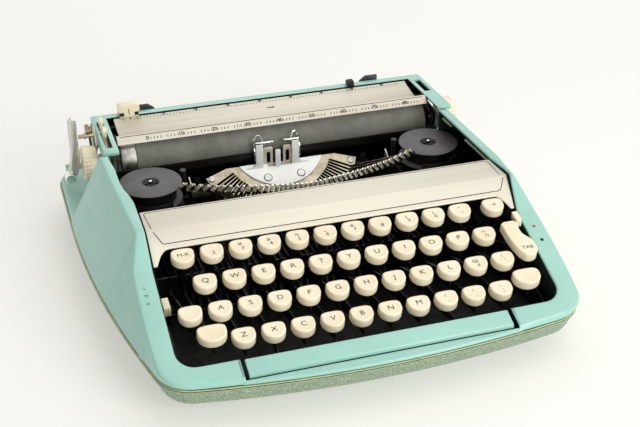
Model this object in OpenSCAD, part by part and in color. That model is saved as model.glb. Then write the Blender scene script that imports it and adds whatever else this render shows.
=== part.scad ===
// Portable typewriter: shells, chassis, keyboard, type basket and carriage.
// Millimetres. X to the typist's right, Y away from the typist, Z up from the table.

/* [Body] */
// Half of the width at the widest point of the rim
side_w = 164; // [158:1:185]
// Distance from the middle to the rear edge
rear_y = 155; // [153:1:170]
// Distance from the middle to the front edge of the rim
front_y = 155; // [153:1:160]
// Radius of the rim's corners in plan
corner_r = 25; // [15:1:32]
// Radius of the gently bowed sides
side_r = 770; // [600:10:1200]
// Radius of the gently bowed front
front_r = 680; // [500:10:1000]
// Height of the joint between pan and cover
rim_z = 29.5; // [28:0.5:33]
// Sheet thickness of the pan
pan_t = 2; // [1:0.1:2.4]
// Sheet thickness of the cover
cover_t = 2.2; // [1:0.1:3]
// Height of the rubber feet
foot_h = 3.5; // [2:0.5:6]
// Radius of the rubber feet
foot_r = 9; // [5:0.5:12]

/* [Cover] */
// Height of the cheeks' flat top
cheek_z = 80; // [77:0.5:84]
// How far each cheek leans in for one millimetre of height
lean = 0.53; // [0.45:0.01:0.6]
// Half of the width of the keyboard well
well_w = 125; // [124:0.5:127]
// Front edge of the keyboard well
well_y = -132.3; // [-134:0.1:-130]
// Height of the frame's top at the front edge of the well
frame_z = 38.3; // [37.5:0.1:39.5]
// Rise of the frame's top for one millimetre towards the back
frame_rise = 0.325; // [0.3:0.005:0.34]
// Y of the rear face of the cheeks
cheek_y = 71; // [69:0.5:74]
// Height of the deck behind the cheeks
deck_z = 34; // [33:0.5:35]
// Thickness of the silver front panel
panel_t = 1.2; // [0.8:0.1:2]

/* [Keyboard] */
// Distance between keys in a row
pitch = 19.05; // [18:0.05:19.5]
// X of the first key of the first row
key_x0 = -105.5; // [-107:0.1:-104]
// Width of a key top
cap_w = 15.5; // [12:0.1:15.8]
// Depth of a key top
cap_d = 13.6; // [12:0.1:15]
// Height of a key top
cap_h = 6.2; // [5:0.1:7.5]
// Slope of the key tops
cap_tilt = 12; // [8:1:15]
// Thickness of the key levers
lever_t = 1.2; // [0.8:0.1:1.4]
// Radius of the fulcrum shaft
shaft_r = 2; // [1.5:0.1:2.4]
// Y of the fulcrum shaft
shaft_y = 46; // [44:0.5:48]
// Height of the fulcrum shaft
shaft_z = 10; // [9.5:0.1:11]
// Length of the space bar
space_l = 172; // [150:1:180]

/* [Type basket] */
// Number of typebars
bars = 42; // [36:1:44]
// Radius of the pivot wire's arc
wire_r = 59; // [58:0.1:60]
// Angle between neighbouring typebars
bar_step = 3; // [2.8:0.05:3.1]
// Angle of the middle typebars at rest above the segment's plane
rest_mid = 80.5; // [78:0.5:82]
// Angle of the outermost typebars at rest above the segment's plane
rest_end = 50; // [46:1:56]
// Tilt of the segment's plane
seg_tilt = 35; // [33:0.5:37]
// Thickness of a typebar
bar_t = 1; // [0.7:0.05:1.1]
// Lift of the basket for capitals
shift_lift = 6; // [5:0.1:6.5]

/* [Carriage] */
// Radius of the platen
platen_r = 15.5; // [14:0.1:16]
// Length of the platen
platen_l = 240; // [220:1:242]
// Y of the platen's axis
platen_y = 108; // [107:0.1:109]
// Height of the platen's axis
platen_z = 57; // [56.5:0.1:58]
// Radius of the platen's shaft
spindle_r = 3; // [2:0.1:4]
// Half of the carriage housing's width
arm_x = 134; // [132:0.5:138]
// Radius of the platen knobs
knob_r = 13.5; // [10:0.1:13.5]

/* [Ribbon] */
// X of a ribbon spool's axis
spool_x = 106; // [104:0.5:107]
// Y of a ribbon spool's axis
spool_y = 54.2; // [52:0.1:56]
// Radius of a spool's flanges
spool_r = 22.3; // [20:0.1:22.5]
// Height of a spool's top
spool_z = 63.2; // [61:0.1:65]
// Radius of a spool's spindle pin
pin_r = 2; // [1.5:0.1:2.4]

/* [Hidden] */
$fn = 48;

mint = [0.66, 0.87, 0.83];
ivory = [0.97, 0.93, 0.81];
steel = [0.45, 0.45, 0.44];
black = [0.13, 0.13, 0.13];
silver = [0.86, 0.86, 0.84];
nickel = [0.71, 0.68, 0.6];

run_gap = 0.06; // radial clearance of a pin in its hole
seat = 0.3; // gap between a piece and what it rests on
side_y = 68; // where the bowed sides begin
arc_n = 8; // steps of each arc of the outline

// Point where two circles meet, on the right and to the front
function meet(a, ra, b, rb) =
    let (d = norm(b - a), k = (ra * ra - rb * rb + d * d) / (2 * d),
        h = sqrt(ra * ra - k * k), u = (b - a) / d)
    a + k * u + h * [-u[1], u[0]];

// Right half of the body's outline in plan, moved in by i
function half_outline(i) =
    let (rc = max(corner_r - i, 5),
        f = [0, front_r - front_y], s = [side_w - side_r, side_y],
        k = meet(f, front_r - i - rc, s, side_r - i - rc),
        at = atan2(k[0], f[1] - k[1]), bt = atan2(k[1] - s[1], k[0] - s[0]),
        q = [side_w - i - rc, rear_y - i - rc])
    concat(
        [for (j = [0:arc_n - 1]) f + (front_r - i) * [sin(at * j / arc_n), -cos(at * j / arc_n)]],
        [for (j = [0:arc_n]) let (a = at - 90 + (bt - at + 90) * j / arc_n) k + rc * [cos(a), sin(a)]],
        [for (j = [1:arc_n]) let (a = bt * (1 - j / arc_n)) s + (side_r - i) * [cos(a), sin(a)]],
        [for (j = [0:arc_n]) let (a = 90 * j / arc_n) q + rc * [cos(a), sin(a)]]);

function outline(i) =
    let (h = half_outline(i), n = len(h))
    concat(h, [for (j = [n - 1:-1:1]) [-h[j][0], h[j][1]]]);

function ring(i, z) = [for (p = outline(i)) [p[0], p[1], z]];

// Closed solid through a list of rings with equal numbers of points
module loft(rings) {
    n = len(rings[0]);
    m = len(rings);
    polyhedron(
        points = [for (r = rings) each r],
        faces = concat(
            [[for (j = [0:n - 1]) j]],
            [[for (j = [n - 1:-1:0]) (m - 1) * n + j]],
            [for (k = [0:m - 2]) for (j = [0:n - 1])
                [k * n + j, (k + 1) * n + j, (k + 1) * n + (j + 1) % n, k * n + (j + 1) % n]]));
}

// Side profile, points as [y, z], made solid from x0 to x1
module slab(x0, x1, pts) {
    translate([x0, 0, 0]) rotate([90, 0, 90]) linear_extrude(x1 - x0) polygon(pts);
}

module block(lo, hi) {
    translate(lo) cube(hi - lo);
}

// Round pin along X
module rod(x0, x1, y, z, r) {
    translate([x0, y, z]) rotate([0, 90, 0]) cylinder(h = x1 - x0, r = r);
}

// Base pan: straight rim, steep wall, sloped underside and flat floor
wall_z = 14;
wall_in = 6;
floor_in = 35;
module base_pan() {
    color(mint) loft([
        ring(floor_in, foot_h), ring(wall_in, wall_z), ring(0, rim_z),
        ring(pan_t, rim_z), ring(wall_in + pan_t, wall_z + 1), ring(floor_in + 1, foot_h + pan_t)]);
}

foot_x = 100;
foot_y = 100;
module rubber_feet() {
    color(black)
    for (x = [-foot_x, foot_x], y = [-foot_y, foot_y])
        translate([x, y, 0]) cylinder(h = foot_h, r = foot_r);
}

// Side profile of the cover, drawn in by t
step_y = -59;
bend_y = -38;
lip_y = -142;
deck_drop = 3;
function frame_top(y) = frame_z + frame_rise * (y - well_y);
function cover_profile(t, low) = [
    [-front_y - 1 + t, low], [-front_y - 1 + t, rim_z + 0.5 - t], [lip_y + t / 2, frame_top(lip_y) - t],
    [step_y + t / 2, frame_top(step_y) - t], [bend_y + t / 2, cheek_z - t], [cheek_y - t, cheek_z - t],
    [cheek_y - t, deck_z - t], [rear_y - 6, deck_z - t], [rear_y + 1 - t, deck_z - deck_drop - t],
    [rear_y + 1 - t, low]];

module cover_body(t, low) {
    rise = cheek_z + 2 - low;
    intersection() {
        loft([ring(t + (low - rim_z) * lean, low), ring(t + (low - rim_z + rise) * lean, low + rise)]);
        slab(-side_w - 5, side_w + 5, cover_profile(t, low));
    }
}

// Room for the spools and the space bar in the cover
notch_x = space_l / 2 + 2;
notch_y = -146.5;
cup_room = 2;
module top_cover() {
    color(mint) difference() {
        cover_body(0, rim_z);
        difference() {
            cover_body(cover_t, rim_z - cover_t);
            for (s = [-1, 1])
                block([s > 0 ? well_w : -well_w - cover_t, well_y - cover_t, 0],
                    [s > 0 ? well_w + cover_t : -well_w, cheek_y, 100]);
            block([-well_w - 1, well_y - cover_t, 0], [well_w + 1, well_y, 100]);
        }
        block([-well_w, well_y, 0], [well_w, cheek_y + 1, 100]);
        block([-well_w + 1, cheek_y - 1, 0], [well_w - 1, rear_y - 8, 100]);
        block([-notch_x, notch_y, rim_z + 2], [notch_x, well_y + 1, 100]);
        block([-notch_x, well_y - cover_t - 2, 0], [notch_x, well_y + 1, 100]);
        for (s = [-1, 1])
            translate([s * spool_x, spool_y, 38])
                cylinder(h = cheek_z - cover_t - 38 - 1, r = cup_r + cup_room);
    }
}

// Silver panel over the rear of the keyboard, in two facets with a point at each end
panel_back = [-11.8, 78.2];
panel_bend = [-35.1, 77.3];
panel_tip = [-57.4, 63.6];
panel_edge_y = -47;
panel_half = well_w - seat;
module front_panel() {
    color(silver) difference() {
        slab(-panel_half, panel_half, [panel_tip, panel_bend, panel_back,
            panel_back - [0, panel_t], panel_bend - [0, panel_t], panel_tip - [0, panel_t]]);
        translate([0, 0, 50]) linear_extrude(40)
            polygon([[-116, panel_edge_y], [-121.5, panel_tip[0] + 2], [-122.5, panel_tip[0] - 3],
                [122.5, panel_tip[0] - 3], [121.5, panel_tip[0] + 2], [116, panel_edge_y]]);
    }
}

// Chassis: two side plates with cross bars, the fulcrum shaft, the basket's guide posts and the rail
plate_x = well_w - 3.5;
plate_t = 1.5;
rail_y0 = 128;
rail_y1 = 140;
rail_z = 44.7;
plate_z = 36;
guide_x = 66;
guide_y = 88;
guide_r = 2.5;
guide_post_z = 42;
yoke_z = 9;
joint_gap = 0.05; // gap between pieces that are bolted together
comb_y = -30;
comb_t = 1.2;
slot_w = lever_t + 0.8;
key_n = 47;
sel_y = -60;
sel_z = 20;
sel_pin = 1.5;
module chassis() {
    plate = [[-126, 17], [-126, 22], [sel_y, 38], [-20, 55], [20, 55], [28, 42], [64, 42], [76, plate_z],
        [146.5, plate_z], [146.5, 17.5], [118, 6.5], [64, 6], [-20, 6.5], [sel_y, 9.5]];
    span = plate_x - joint_gap;
    color(black) {
        for (s = [-1, 1]) {
            slab(s > 0 ? plate_x : -plate_x - plate_t, s > 0 ? plate_x + plate_t : -plate_x, plate);
            rod(s > 0 ? plate_x - 3 : -plate_x, s > 0 ? plate_x : -plate_x + 3, sel_y, sel_z, sel_pin);
            translate([s * guide_x, guide_y, yoke_z + joint_gap])
                cylinder(h = guide_post_z - yoke_z - joint_gap, r = guide_r);
        }
        block([-span, -124, 13.5], [span, -120, 15.5]);
        block([-guide_x - 5, 68, 6], [guide_x + 5, guide_y + 4, yoke_z]);
        block([-span, 68, yoke_z + joint_gap], [span, 72, 14]);
        block([-span, 142, 17], [span, 146, plate_z]);
        block([-plate_x - plate_t, rail_y0, plate_z + joint_gap], [plate_x + plate_t, rail_y1, rail_z]);
        rod(-span, span, shaft_y, shaft_z, shaft_r);
    }
}

// Comb that keeps the key levers apart
module key_comb() {
    span = plate_x - joint_gap;
    color(black) difference() {
        block([-span, comb_y - comb_t / 2, 7], [span, comb_y + comb_t / 2, plate_z]);
        for (n = [-1:key_n]) slot(key_x0 + n * pitch / 4);
        for (x = [backspace_lever_x, -space_arm_x, space_arm_x]) slot(x);
    }
}
module slot(x) {
    block([x - slot_w / 2, comb_y - 2, 8.5], [x + slot_w / 2, comb_y + 2, 60]);
}

// Spool cups with the spindle pins and the ribbon posts
cup_r = 23.6;
cup_z = 42;
post_x = 81;
post_y = 61.6;
post_r = 3;
post_z = 65.5;
module spool_cups() {
    color(black) for (s = [-1, 1]) {
        difference() {
            translate([s * spool_x, spool_y, cup_z]) cylinder(h = 14, r = cup_r);
            translate([s * spool_x, spool_y, cup_z + 1.5]) cylinder(h = 20, r = cup_r - 0.9);
            block([s > 0 ? 60 : -94, 10, cup_z + 5], [s > 0 ? 94 : -60, 90, 90]);
        }
        translate([s * spool_x, spool_y, cup_z]) cylinder(h = spool_z - cup_z + 1, r = pin_r);
        translate([s * post_x, post_y, cup_z]) cylinder(h = post_z - cup_z, r = post_r);
        block([s > 0 ? post_x - 3 : -90, post_y - 3, cup_z],
            [s > 0 ? 90 : -post_x + 3, post_y + 3, cup_z + 1.5]);
    }
}

// Ribbon spool: two flanges and the wound ribbon between them, three lobes round the hub hole
spool_h = 13;
module spool(s) {
    color(steel) translate([s * spool_x, spool_y, spool_z - spool_h]) difference() {
        rotate_extrude() polygon([[pin_r + run_gap, 0], [spool_r, 0], [spool_r, 1], [spool_r - 4, 1],
            [spool_r - 4, spool_h - 1], [spool_r, spool_h - 1], [spool_r, spool_h],
            [pin_r + run_gap, spool_h]]);
        for (a = [90, 210, 330]) rotate(a) translate([3.4, 0, spool_h - 4]) cylinder(h = 5, r = 1.2);
    }
}

// Type basket, drawn about the centre of the pivot wire's arc
seg_c = [0, 105, 51.6];
seg_in = 29;
seg_slot_in = 43;
seg_out = wire_r + 4.5;
seg_end = 70;
seg_flat = -15.6;
seg_top = 3;
seg_bottom = -6;
wire_t = 0.8;
bar_slot = bar_t + 0.5;
function bar_angle(i) = (i - (bars - 1) / 2) * bar_step;
function arc_pt(r, a) = r * [sin(a), -cos(a)];
module tilted() {
    translate(seg_c) rotate([seg_tilt, 0, 0]) children();
}

// Outline of the slotted arc: in along one side of each slot and out along the other
function slot_edge(a) =
    let (h = bar_slot / 2, c = [cos(a), sin(a)])
    [arc_pt(seg_out, a) - h * c, arc_pt(seg_slot_in, a) - h * c,
        arc_pt(seg_slot_in, a) + h * c, arc_pt(seg_out, a) + h * c];
module segment() {
    color(nickel) union() {
        tilted() {
            translate([0, 0, seg_bottom]) linear_extrude(seg_top - seg_bottom) difference() {
                polygon(concat(
                    [arc_pt(seg_out, -seg_end)],
                    [for (i = [0:bars - 1]) each slot_edge(bar_angle(i))],
                    [arc_pt(seg_out, seg_end)],
                    [for (a = [seg_end:-4:-seg_end]) arc_pt(seg_in, a)]));
                translate([-seg_out, seg_flat]) square(2 * seg_out);
            }
            for (i = [0:bars - 1]) rotate(bar_angle(i)) translate([0, -wire_r, 0]) rotate([0, 90, 0])
                cylinder(h = bar_slot + 0.6, r = wire_t, center = true);
        }
        for (s = [-1, 1]) difference() {
            union() {
                block([s > 0 ? 57 : -guide_x - 5, guide_y - 5, 28],
                    [s > 0 ? guide_x + 5 : -57, guide_y + 5, 34]);
                block([s > 0 ? 49 : -58, guide_y - 2, 28], [s > 0 ? 58 : -49, guide_y + 5, 34]);
            }
            translate([s * guide_x, guide_y, 0]) cylinder(h = 60, r = guide_r + run_gap);
        }
    }
}

// One typebar: a thin shank with a hole for the wire and a type block at its end
bar_l = 63;
slug_a0 = 57.5;
slug_w = 2.6;
slug_h = 4.5;
module typebar() {
    rotate([90, 0, 0]) {
        linear_extrude(bar_t, center = true) difference() {
            polygon([[-2.2, -1.8], [30, -1.5], [bar_l, -1], [bar_l, 1.2], [30, 1.5], [-2.2, 1.8]]);
            circle(r = wire_t + run_gap);
        }
        linear_extrude(slug_w, center = true)
            polygon([[slug_a0, -1], [64.7, -1], [64.7, slug_h], [slug_a0, slug_h]]);
    }
}
function rest_angle(i) = rest_mid - (rest_mid - rest_end) * pow(abs(bar_angle(i)) / bar_angle(bars - 1), 2.5);
module resting_bar(i) {
    tilted() rotate(bar_angle(i) - 90) translate([wire_r, 0, 0]) rotate([0, -rest_angle(i), 0]) typebar();
}
live_i = 21;
module typebars() {
    color(nickel) for (i = [0:bars - 1]) if (i != live_i) resting_bar(i);
}
module typebar_live() {
    color(nickel) resting_bar(live_i);
}

// Chrome plate on the segment, with its window, the type guide's posts and tab, and the paper ears
plate_r = 36.6;
shoulder_s = -16;
window_s = -19.6;
neck_x = 17;
neck_in = 11;
neck_y = 86;
neck_z = 43;
neck_t = 2;
screw_x = 13;
screw_s = -28.8;
guide_top = 65;
guide_gap = 4;
tab_x = 2.1;
tab_top = 57.5;
module segment_plate() {
    color(silver) union() {
        tilted() translate([0, 0, seg_top]) linear_extrude(1.2) difference() {
            circle(r = plate_r);
            translate([-plate_r, shoulder_s]) square(2 * plate_r);
            translate([-neck_in, window_s]) square(2 * neck_in);
        }
        tilted() for (x = [-screw_x, screw_x]) translate([x, screw_s, seg_top]) cylinder(h = 2, r = 2.8);
        for (s = [-1, 1]) {
            block([s > 0 ? neck_in : -neck_x, neck_y, neck_z],
                [s > 0 ? neck_x : -neck_in, neck_y + neck_t, guide_top]);
            block([s > 0 ? guide_gap : -neck_x, neck_y, guide_top - 2],
                [s > 0 ? neck_x : -guide_gap, neck_y + neck_t, guide_top]);
            slab(s > 0 ? neck_x : -neck_x - 1.2, s > 0 ? neck_x + 1.2 : -neck_x,
                [[neck_y, 52], [neck_y + 2, 52], [91, 66], [91, 70], [89.8, 70], [89.8, 66.4], [neck_y, 55]]);
        }
        block([-tab_x, neck_y - 1, neck_z - 1], [tab_x, neck_y + 1, tab_top]);
    }
}

// Ribbon vibrator: a bar with two slotted fingers that lift the ribbon
finger_x = 10.7;
finger_in = 2.6;
vib_z = 42;
vib_y = neck_y + neck_t + seat;
vib_t = 1.6;
module ribbon_vibrator() {
    color(silver) union() {
        block([-finger_x, vib_y, vib_z], [finger_x, vib_y + vib_t, vib_z + 3]);
        for (s = [-1, 1]) difference() {
            block([s > 0 ? finger_in : -finger_x, vib_y, vib_z + 2.5],
                [s > 0 ? finger_x : -finger_in, vib_y + vib_t, vib_z + 17]);
            block([s > 0 ? 5 : -7.4, vib_y - 1, vib_z + 4],
                [s > 0 ? 7.4 : -5, vib_y + vib_t + 1, vib_z + 12]);
        }
    }
}

// Carriage frame: end plates with the platen's bearings, rear bed, deflector, tie bar, lever pins
end_l = -arm_x + 8;
end_r = arm_x - 7;
end_t = 2;
bed_z = rail_z + seat;
bail_y = 128;
bail_z = 64;
bail_pin = 1.5;
lever_ys = [110, 127];
lever_z = 64;
pin_y = 124.5;
lug_x = -157;
lug_z = 47;
lug_r = 1.5;
tie_y = 133.5;
bail_x0 = -arm_x + 12.6;
bail_x1 = arm_x - 12;
bail_t = 1.2;
module end_plate(x) {
    difference() {
        slab(x, x + end_t, [[91.6, 54.5], [97, bed_z], [147, bed_z], [147, 73], [130, 73],
            [120, 68], [91.6, 66]]);
        rod(x - 1, x + end_t + 1, platen_y, platen_z, spindle_r + run_gap);
    }
}
module carriage_frame() {
    defl_in = platen_r + 0.8;
    color(steel) union() {
        end_plate(end_l);
        end_plate(end_r);
        block([end_l, 127.5, bed_z], [end_r + end_t, 146, bed_z + 3]);
        block([end_l, tie_y, tie_z - 5], [end_r + end_t, tie_y + 5, tie_z]);
        block([-table_x + 4, tie_y, tie_z - 1], [table_x - 4, tie_y + 2.5, tie_top]);
        slab(end_l, end_r + end_t, concat(
            [for (a = [186:6:216]) [platen_y, platen_z] + (defl_in + 1) * [cos(a), sin(a)]],
            [for (a = [216:-6:186]) [platen_y, platen_z] + defl_in * [cos(a), sin(a)]]));
        rod(end_l + end_t - 0.5, bail_x0 + bail_t + 0.6, bail_y, bail_z, bail_pin);
        rod(bail_x1 - bail_t - 0.6, end_r + 0.5, bail_y, bail_z, bail_pin);
        for (y = lever_ys) rod(end_l - 5.8, end_l + 0.5, y, lever_z, bail_pin);
        block([lug_x - lug_r, pin_y - 1, bed_z], [end_l, pin_y + 1.5, 49.1]);
        translate([lug_x, pin_y, lug_z]) rotate([90, 0, 0]) cylinder(h = pin_y - lever_y0 + 0.5, r = lug_r);
    }
}

// Mint housing of the carriage: left arm with two slots, right arm with one, rear bar
arm_l_w = 11;
arm_r_w = 11.5;
arm_y = 78;
arm_lip = 3.5;
bar_y0 = 142;
bar_y1 = 150;
cover_top = 79;
cover_back = 75;
skirt_z = 66;
skin = 1.6;
function arm_z(y) = cover_top - (cover_top - cover_back) * (y - arm_y) / (bar_y1 - arm_y);
module arm_slot(x, y0, y1) {
    block([x - 2.6, y0, 60], [x + 2.6, y1, 90]);
}
module carriage_cover() {
    profile = [[arm_y, cover_top - arm_lip], [arm_y, arm_z(arm_y)], [bar_y1, arm_z(bar_y1)],
        [bar_y1, 48], [140, 48], [120, skirt_z]];
    inner = [[arm_y + skin, 30], [arm_y + skin, arm_z(arm_y) - skin],
        [bar_y1 - skin, arm_z(bar_y1) - skin], [bar_y1 - skin, 30]];
    color(mint) difference() {
        slab(-arm_x, arm_x, profile);
        block([-arm_x + arm_l_w, 0, 0], [arm_x - arm_r_w, bar_y0, 100]);
        slab(-arm_x + skin, arm_x - skin, inner);
        arm_slot(lever_x, 85, 114.6);
        arm_slot(lever_x, 116.4, 136.4);
        arm_slot(arm_x - 6, 111, 136.4);
    }
    color(mint) for (s = [-1, 1]) difference() {
        x0 = s > 0 ? hinge_lug_x : -hinge_lug_x - hinge_lug_w;
        block([x0, bar_y1 - skin, hinge_z - hinge_lug_r],
            [x0 + hinge_lug_w, hinge_y + hinge_lug_r, hinge_z + hinge_lug_r]);
        rod(x0 - 1, x0 + hinge_lug_w + 1, hinge_y, hinge_z, hinge_r + run_gap);
    }
}

// Paper table behind the platen, with a fold in front of its scale
table_x = 118;
table_t = 1.6;
table_front = [117, 72.8];
table_fold = [130.7, 74.3];
table_rear = [138, 75.7];
function table_under(y) = table_fold[1] - table_t
    + (y - table_fold[0]) * (table_rear[1] - table_fold[1]) / (table_rear[0] - table_fold[0]);
tie_top = table_under(tie_y) - seat;
tie_z = tie_top - 2.5;
module paper_table() {
    drop = [0, table_t];
    color(silver) slab(-table_x, table_x, [table_front - drop, table_fold - drop, table_rear - drop,
        table_rear, table_fold, table_front]);
}

module platen() {
    color(steel) union() {
        rod(-platen_l / 2, platen_l / 2, platen_y, platen_z, platen_r);
        rod(-knob_x - knob_l, knob_x + knob_l, platen_y, platen_z, spindle_r);
    }
}
knob_x = arm_x + 2;
knob_l = 11.5;
module platen_knobs() {
    color(ivory) for (s = [-1, 1]) difference() {
        rod(s > 0 ? knob_x : -knob_x - knob_l, s > 0 ? knob_x + knob_l : -knob_x, platen_y, platen_z, knob_r);
        rod(-200, 200, platen_y, platen_z, spindle_r + run_gap);
    }
}

// Carriage return lever: an upright paddle on the pin at the carriage's left end
lever_y0 = 107.5;
lever_y1 = 112;
module return_lever() {
    color(silver) difference() {
        translate([0, lever_y1, 0]) rotate([90, 0, 0]) linear_extrude(lever_y1 - lever_y0) union() {
            polygon([[-159, 43], [-154.6, 43], [-150.4, 58], [-149.3, 74], [-148.1, 91], [-148.8, 93.8],
                [-150.6, 95], [-152.6, 95], [-154.4, 93.8], [-155, 91], [-155.6, 74], [-155.9, 58]]);
            translate([lug_x, lug_z]) circle(r = 4);
        }
        translate([lug_x, 120, lug_z]) rotate([90, 0, 0]) cylinder(h = 30, r = lug_r + run_gap);
    }
}

// Small ivory levers that stand in the slots of the left arm
lever_x = -arm_x + 5;
module arm_lever(y) {
    color(ivory) difference() {
        slab(lever_x - 1.6, lever_x + 1.6, [[y - 2.6, lever_z - 2.8], [y + 2.6, lever_z - 2.8], [y + 2.2, 74],
            [y + 3.4, 81], [y + 2.4, 83.4], [y - 2.4, 83.4], [y - 3.4, 81], [y - 2.2, 74]]);
        rod(lever_x - 5, lever_x + 5, y, lever_z, bail_pin + run_gap);
    }
}

// Margin stops that hook over the rear bar
module margin_stop(x, w, top, c) {
    color(c) slab(x - w / 2, x + w / 2, [[138.6, 72], [bar_y0 - seat, 72],
        [bar_y0 - seat, arm_z(bar_y0) + seat],
        [147, arm_z(bar_y0) + seat], [147, top - 2], [145, top], [140.5, top], [138.6, top - 1.5]]);
}

// Paper bail: flat bar with an arm at each end
module paper_bail() {
    color(silver) union() {
        slab(bail_x0, bail_x1, [[97, 73.2], [98, 72.5], [103.7, 77.6], [102.7, 78.2]]);
        for (x = [bail_x0, bail_x1 - bail_t]) difference() {
            slab(x, x + bail_t, [[98, 72.5], [103.7, 77.6], [bail_y + 2, bail_z + 3.4],
                [bail_y + 3, bail_z - 2], [bail_y - 2, bail_z - 3]]);
            rod(x - 1, x + 3, bail_y, bail_z, bail_pin + run_gap);
        }
    }
}

// Paper supports: two tabs on one strip behind the rear bar, with a hinge rod in two lugs
support_y = bar_y1 + 0.6;
support_z = 54;
support_t = 1.2;
support_x = 91.5;
support_w = 15.6;
hinge_r = 1;
hinge_y = support_y + support_t / 2;
hinge_z = support_z + 0.6;
hinge_lug_x = 106;
hinge_lug_w = 3;
hinge_lug_r = 2.2;
module paper_supports() {
    color(steel) union() {
        for (x = [-support_x, support_x]) block([x - support_w / 2, support_y, support_z],
            [x + support_w / 2, support_y + support_t, 78.5]);
        block([-support_x, support_y, support_z], [support_x, support_y + support_t, support_z + 5]);
        rod(-hinge_lug_x - hinge_lug_w, hinge_lug_x + hinge_lug_w, hinge_y, hinge_z, hinge_r);
    }
}

// Keyboard rows: stagger, Y and height of the key tops, and where the lever leaves its low run
stagger = [0, pitch / 2, pitch * 3 / 4, pitch * 5 / 4];
row_y = [-56.6, -77.1, -97.5, -117];
row_z = [68.6, 60.4, 52.3, 43.4];
run_z = [18, 18, 17, 16];
letters = ["", "qwertyuiop", "asdfghjkl", "zxcvbnm"];
figures = [[1:10], [10:10], [9:10], [7:9]];
function key_x(row, k) = key_x0 + stagger[row] + pitch * k;
run_y = -15;
boss_r = shaft_r + 1.8;
stem = 2.5;
stem_gap = 0.1;

// Key top outline: square at the back, rounder and narrower at the front
function cap_pts(w, d) = [for (a = [0:12:348]) let (c = cos(a), s = sin(a), p = s > 0 ? 0.62 : 0.92)
    [w / 2 * sign(c) * pow(abs(c), p) * (1 + 0.14 * s) * 0.98, d / 2 * sign(s) * pow(abs(s), p)]];
module cap(x, y, z, w, d) {
    color(ivory) translate([x, y, z]) rotate([cap_tilt, 0, 0]) translate([0, 0, -cap_h])
        linear_extrude(cap_h) polygon(cap_pts(w, d));
}
function under(z) = z - cap_h / cos(cap_tilt) - stem_gap;

// Lever plate: bored end on the fulcrum shaft, low run, then a rise to the key top
module lever(x, y, z, rise_z, tail = 50) {
    b = under(z);
    k = stem * tan(cap_tilt);
    color(steel) difference() {
        slab(x - lever_t / 2, x + lever_t / 2, [[tail, shaft_z - 3], [tail, shaft_z + 3],
            [shaft_y - 4, shaft_z + boss_r], [run_y, rise_z], [y + stem, b + k], [y - stem, b - k],
            [y - stem, b - 8], [run_y + 2, rise_z - 5.5], [shaft_y - 4, shaft_z - 3]]);
        rod(x - 5, x + 5, shaft_y, shaft_z, shaft_r + run_gap);
    }
}
module key(row, k) {
    x = key_x(row, k);
    cap(x, row_y[row], row_z[row], cap_w, cap_d);
    lever(x, row_y[row], row_z[row], run_z[row]);
}
module letter_key(name) {
    for (row = [1:3]) for (k = search(name, letters[row])) key(row, k);
}
module figure_keys() {
    for (row = [0:3]) for (k = figures[row]) key(row, k);
}

// Shift keys and shift lock on one cross rod behind the fulcrum
shift_y = -114.5;
shift_z = 47.4;
lift_y = 62;
lift_z = 8;
module shift_keys() {
    xl = key_x(3, -1);
    xr = key_x(3, 10);
    xk = key_x(2, -1);
    for (x = [xl, xr]) cap(x, shift_y, shift_z, 19, 14.5);
    cap(xk, row_y[2], row_z[2], cap_w, cap_d);
    for (x = [xl, xr]) lever(x, shift_y, shift_z, run_z[3], lift_y + 2);
    lever(xk, row_y[2], row_z[2], run_z[2], lift_y + 2);
    color(steel) rod(xk - 1, xr + 1, lift_y, lift_z, 1.2);
}

backspace_x = key_x0 + 214.7;
backspace_lever_x = key_x0 + 45.5 * pitch / 4;
module backspace_key() {
    cap(backspace_x, row_y[0], row_z[0], cap_w, cap_d);
    lever(backspace_lever_x, row_y[0], row_z[0], run_z[0]);
}
module margin_release_key() {
    key(0, 0);
}

// Long curved tabulator key beside the right wall
tab_y = -87;
tab_z = 59.4;
tab_lever_x = key_x0 + 46 * pitch / 4;
module tab_key() {
    color(ivory) translate([tab_lever_x, tab_y, tab_z]) rotate([cap_tilt, 0, 0]) translate([0, 0, -7])
        linear_extrude(7) polygon([[-5.5, 13], [-5.8, 15.2], [-3, 16.6], [4, 16.6], [6, 14], [4.6, 8], [5, 3],
            [7.5, -1], [9.3, -4], [9.3, -12], [7, -16], [3, -17.6], [-1, -16.5], [-3.5, -12],
            [-5.2, -4], [-5.8, 5]]);
    lever(tab_lever_x, tab_y, tab_z - 0.8, run_z[1]);
}

// Space bar on two arms
space_y0 = -144;
space_y1 = -132.9;
space_t = 4;
space_arm_x = 9.5 * pitch / 4 + 14.3;
module space_bar() {
    x = space_l / 2;
    top0 = frame_top(space_y0);
    top1 = frame_top(space_y1);
    color(mint) slab(-x, x, [[space_y0, top0 - space_t], [space_y0, top0 - 1], [space_y0 + 1, top0],
        [space_y1, top1], [space_y1, top1 - space_t]]);
    for (s = [-1, 1]) color(steel) difference() {
        slab(s * space_arm_x - lever_t / 2, s * space_arm_x + lever_t / 2,
            [[50, shaft_z - 3], [50, shaft_z + 3], [shaft_y - 4, shaft_z + boss_r], [run_y, 14],
            [-129.5, 24.5], [-135, top0 - space_t - 0.1],
            [-141, top0 - space_t - 0.1], [-134, 22], [run_y + 2, 10], [shaft_y - 4, shaft_z - 3]]);
        rod(-120, 120, shaft_y, shaft_z, shaft_r + run_gap);
    }
}

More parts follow.
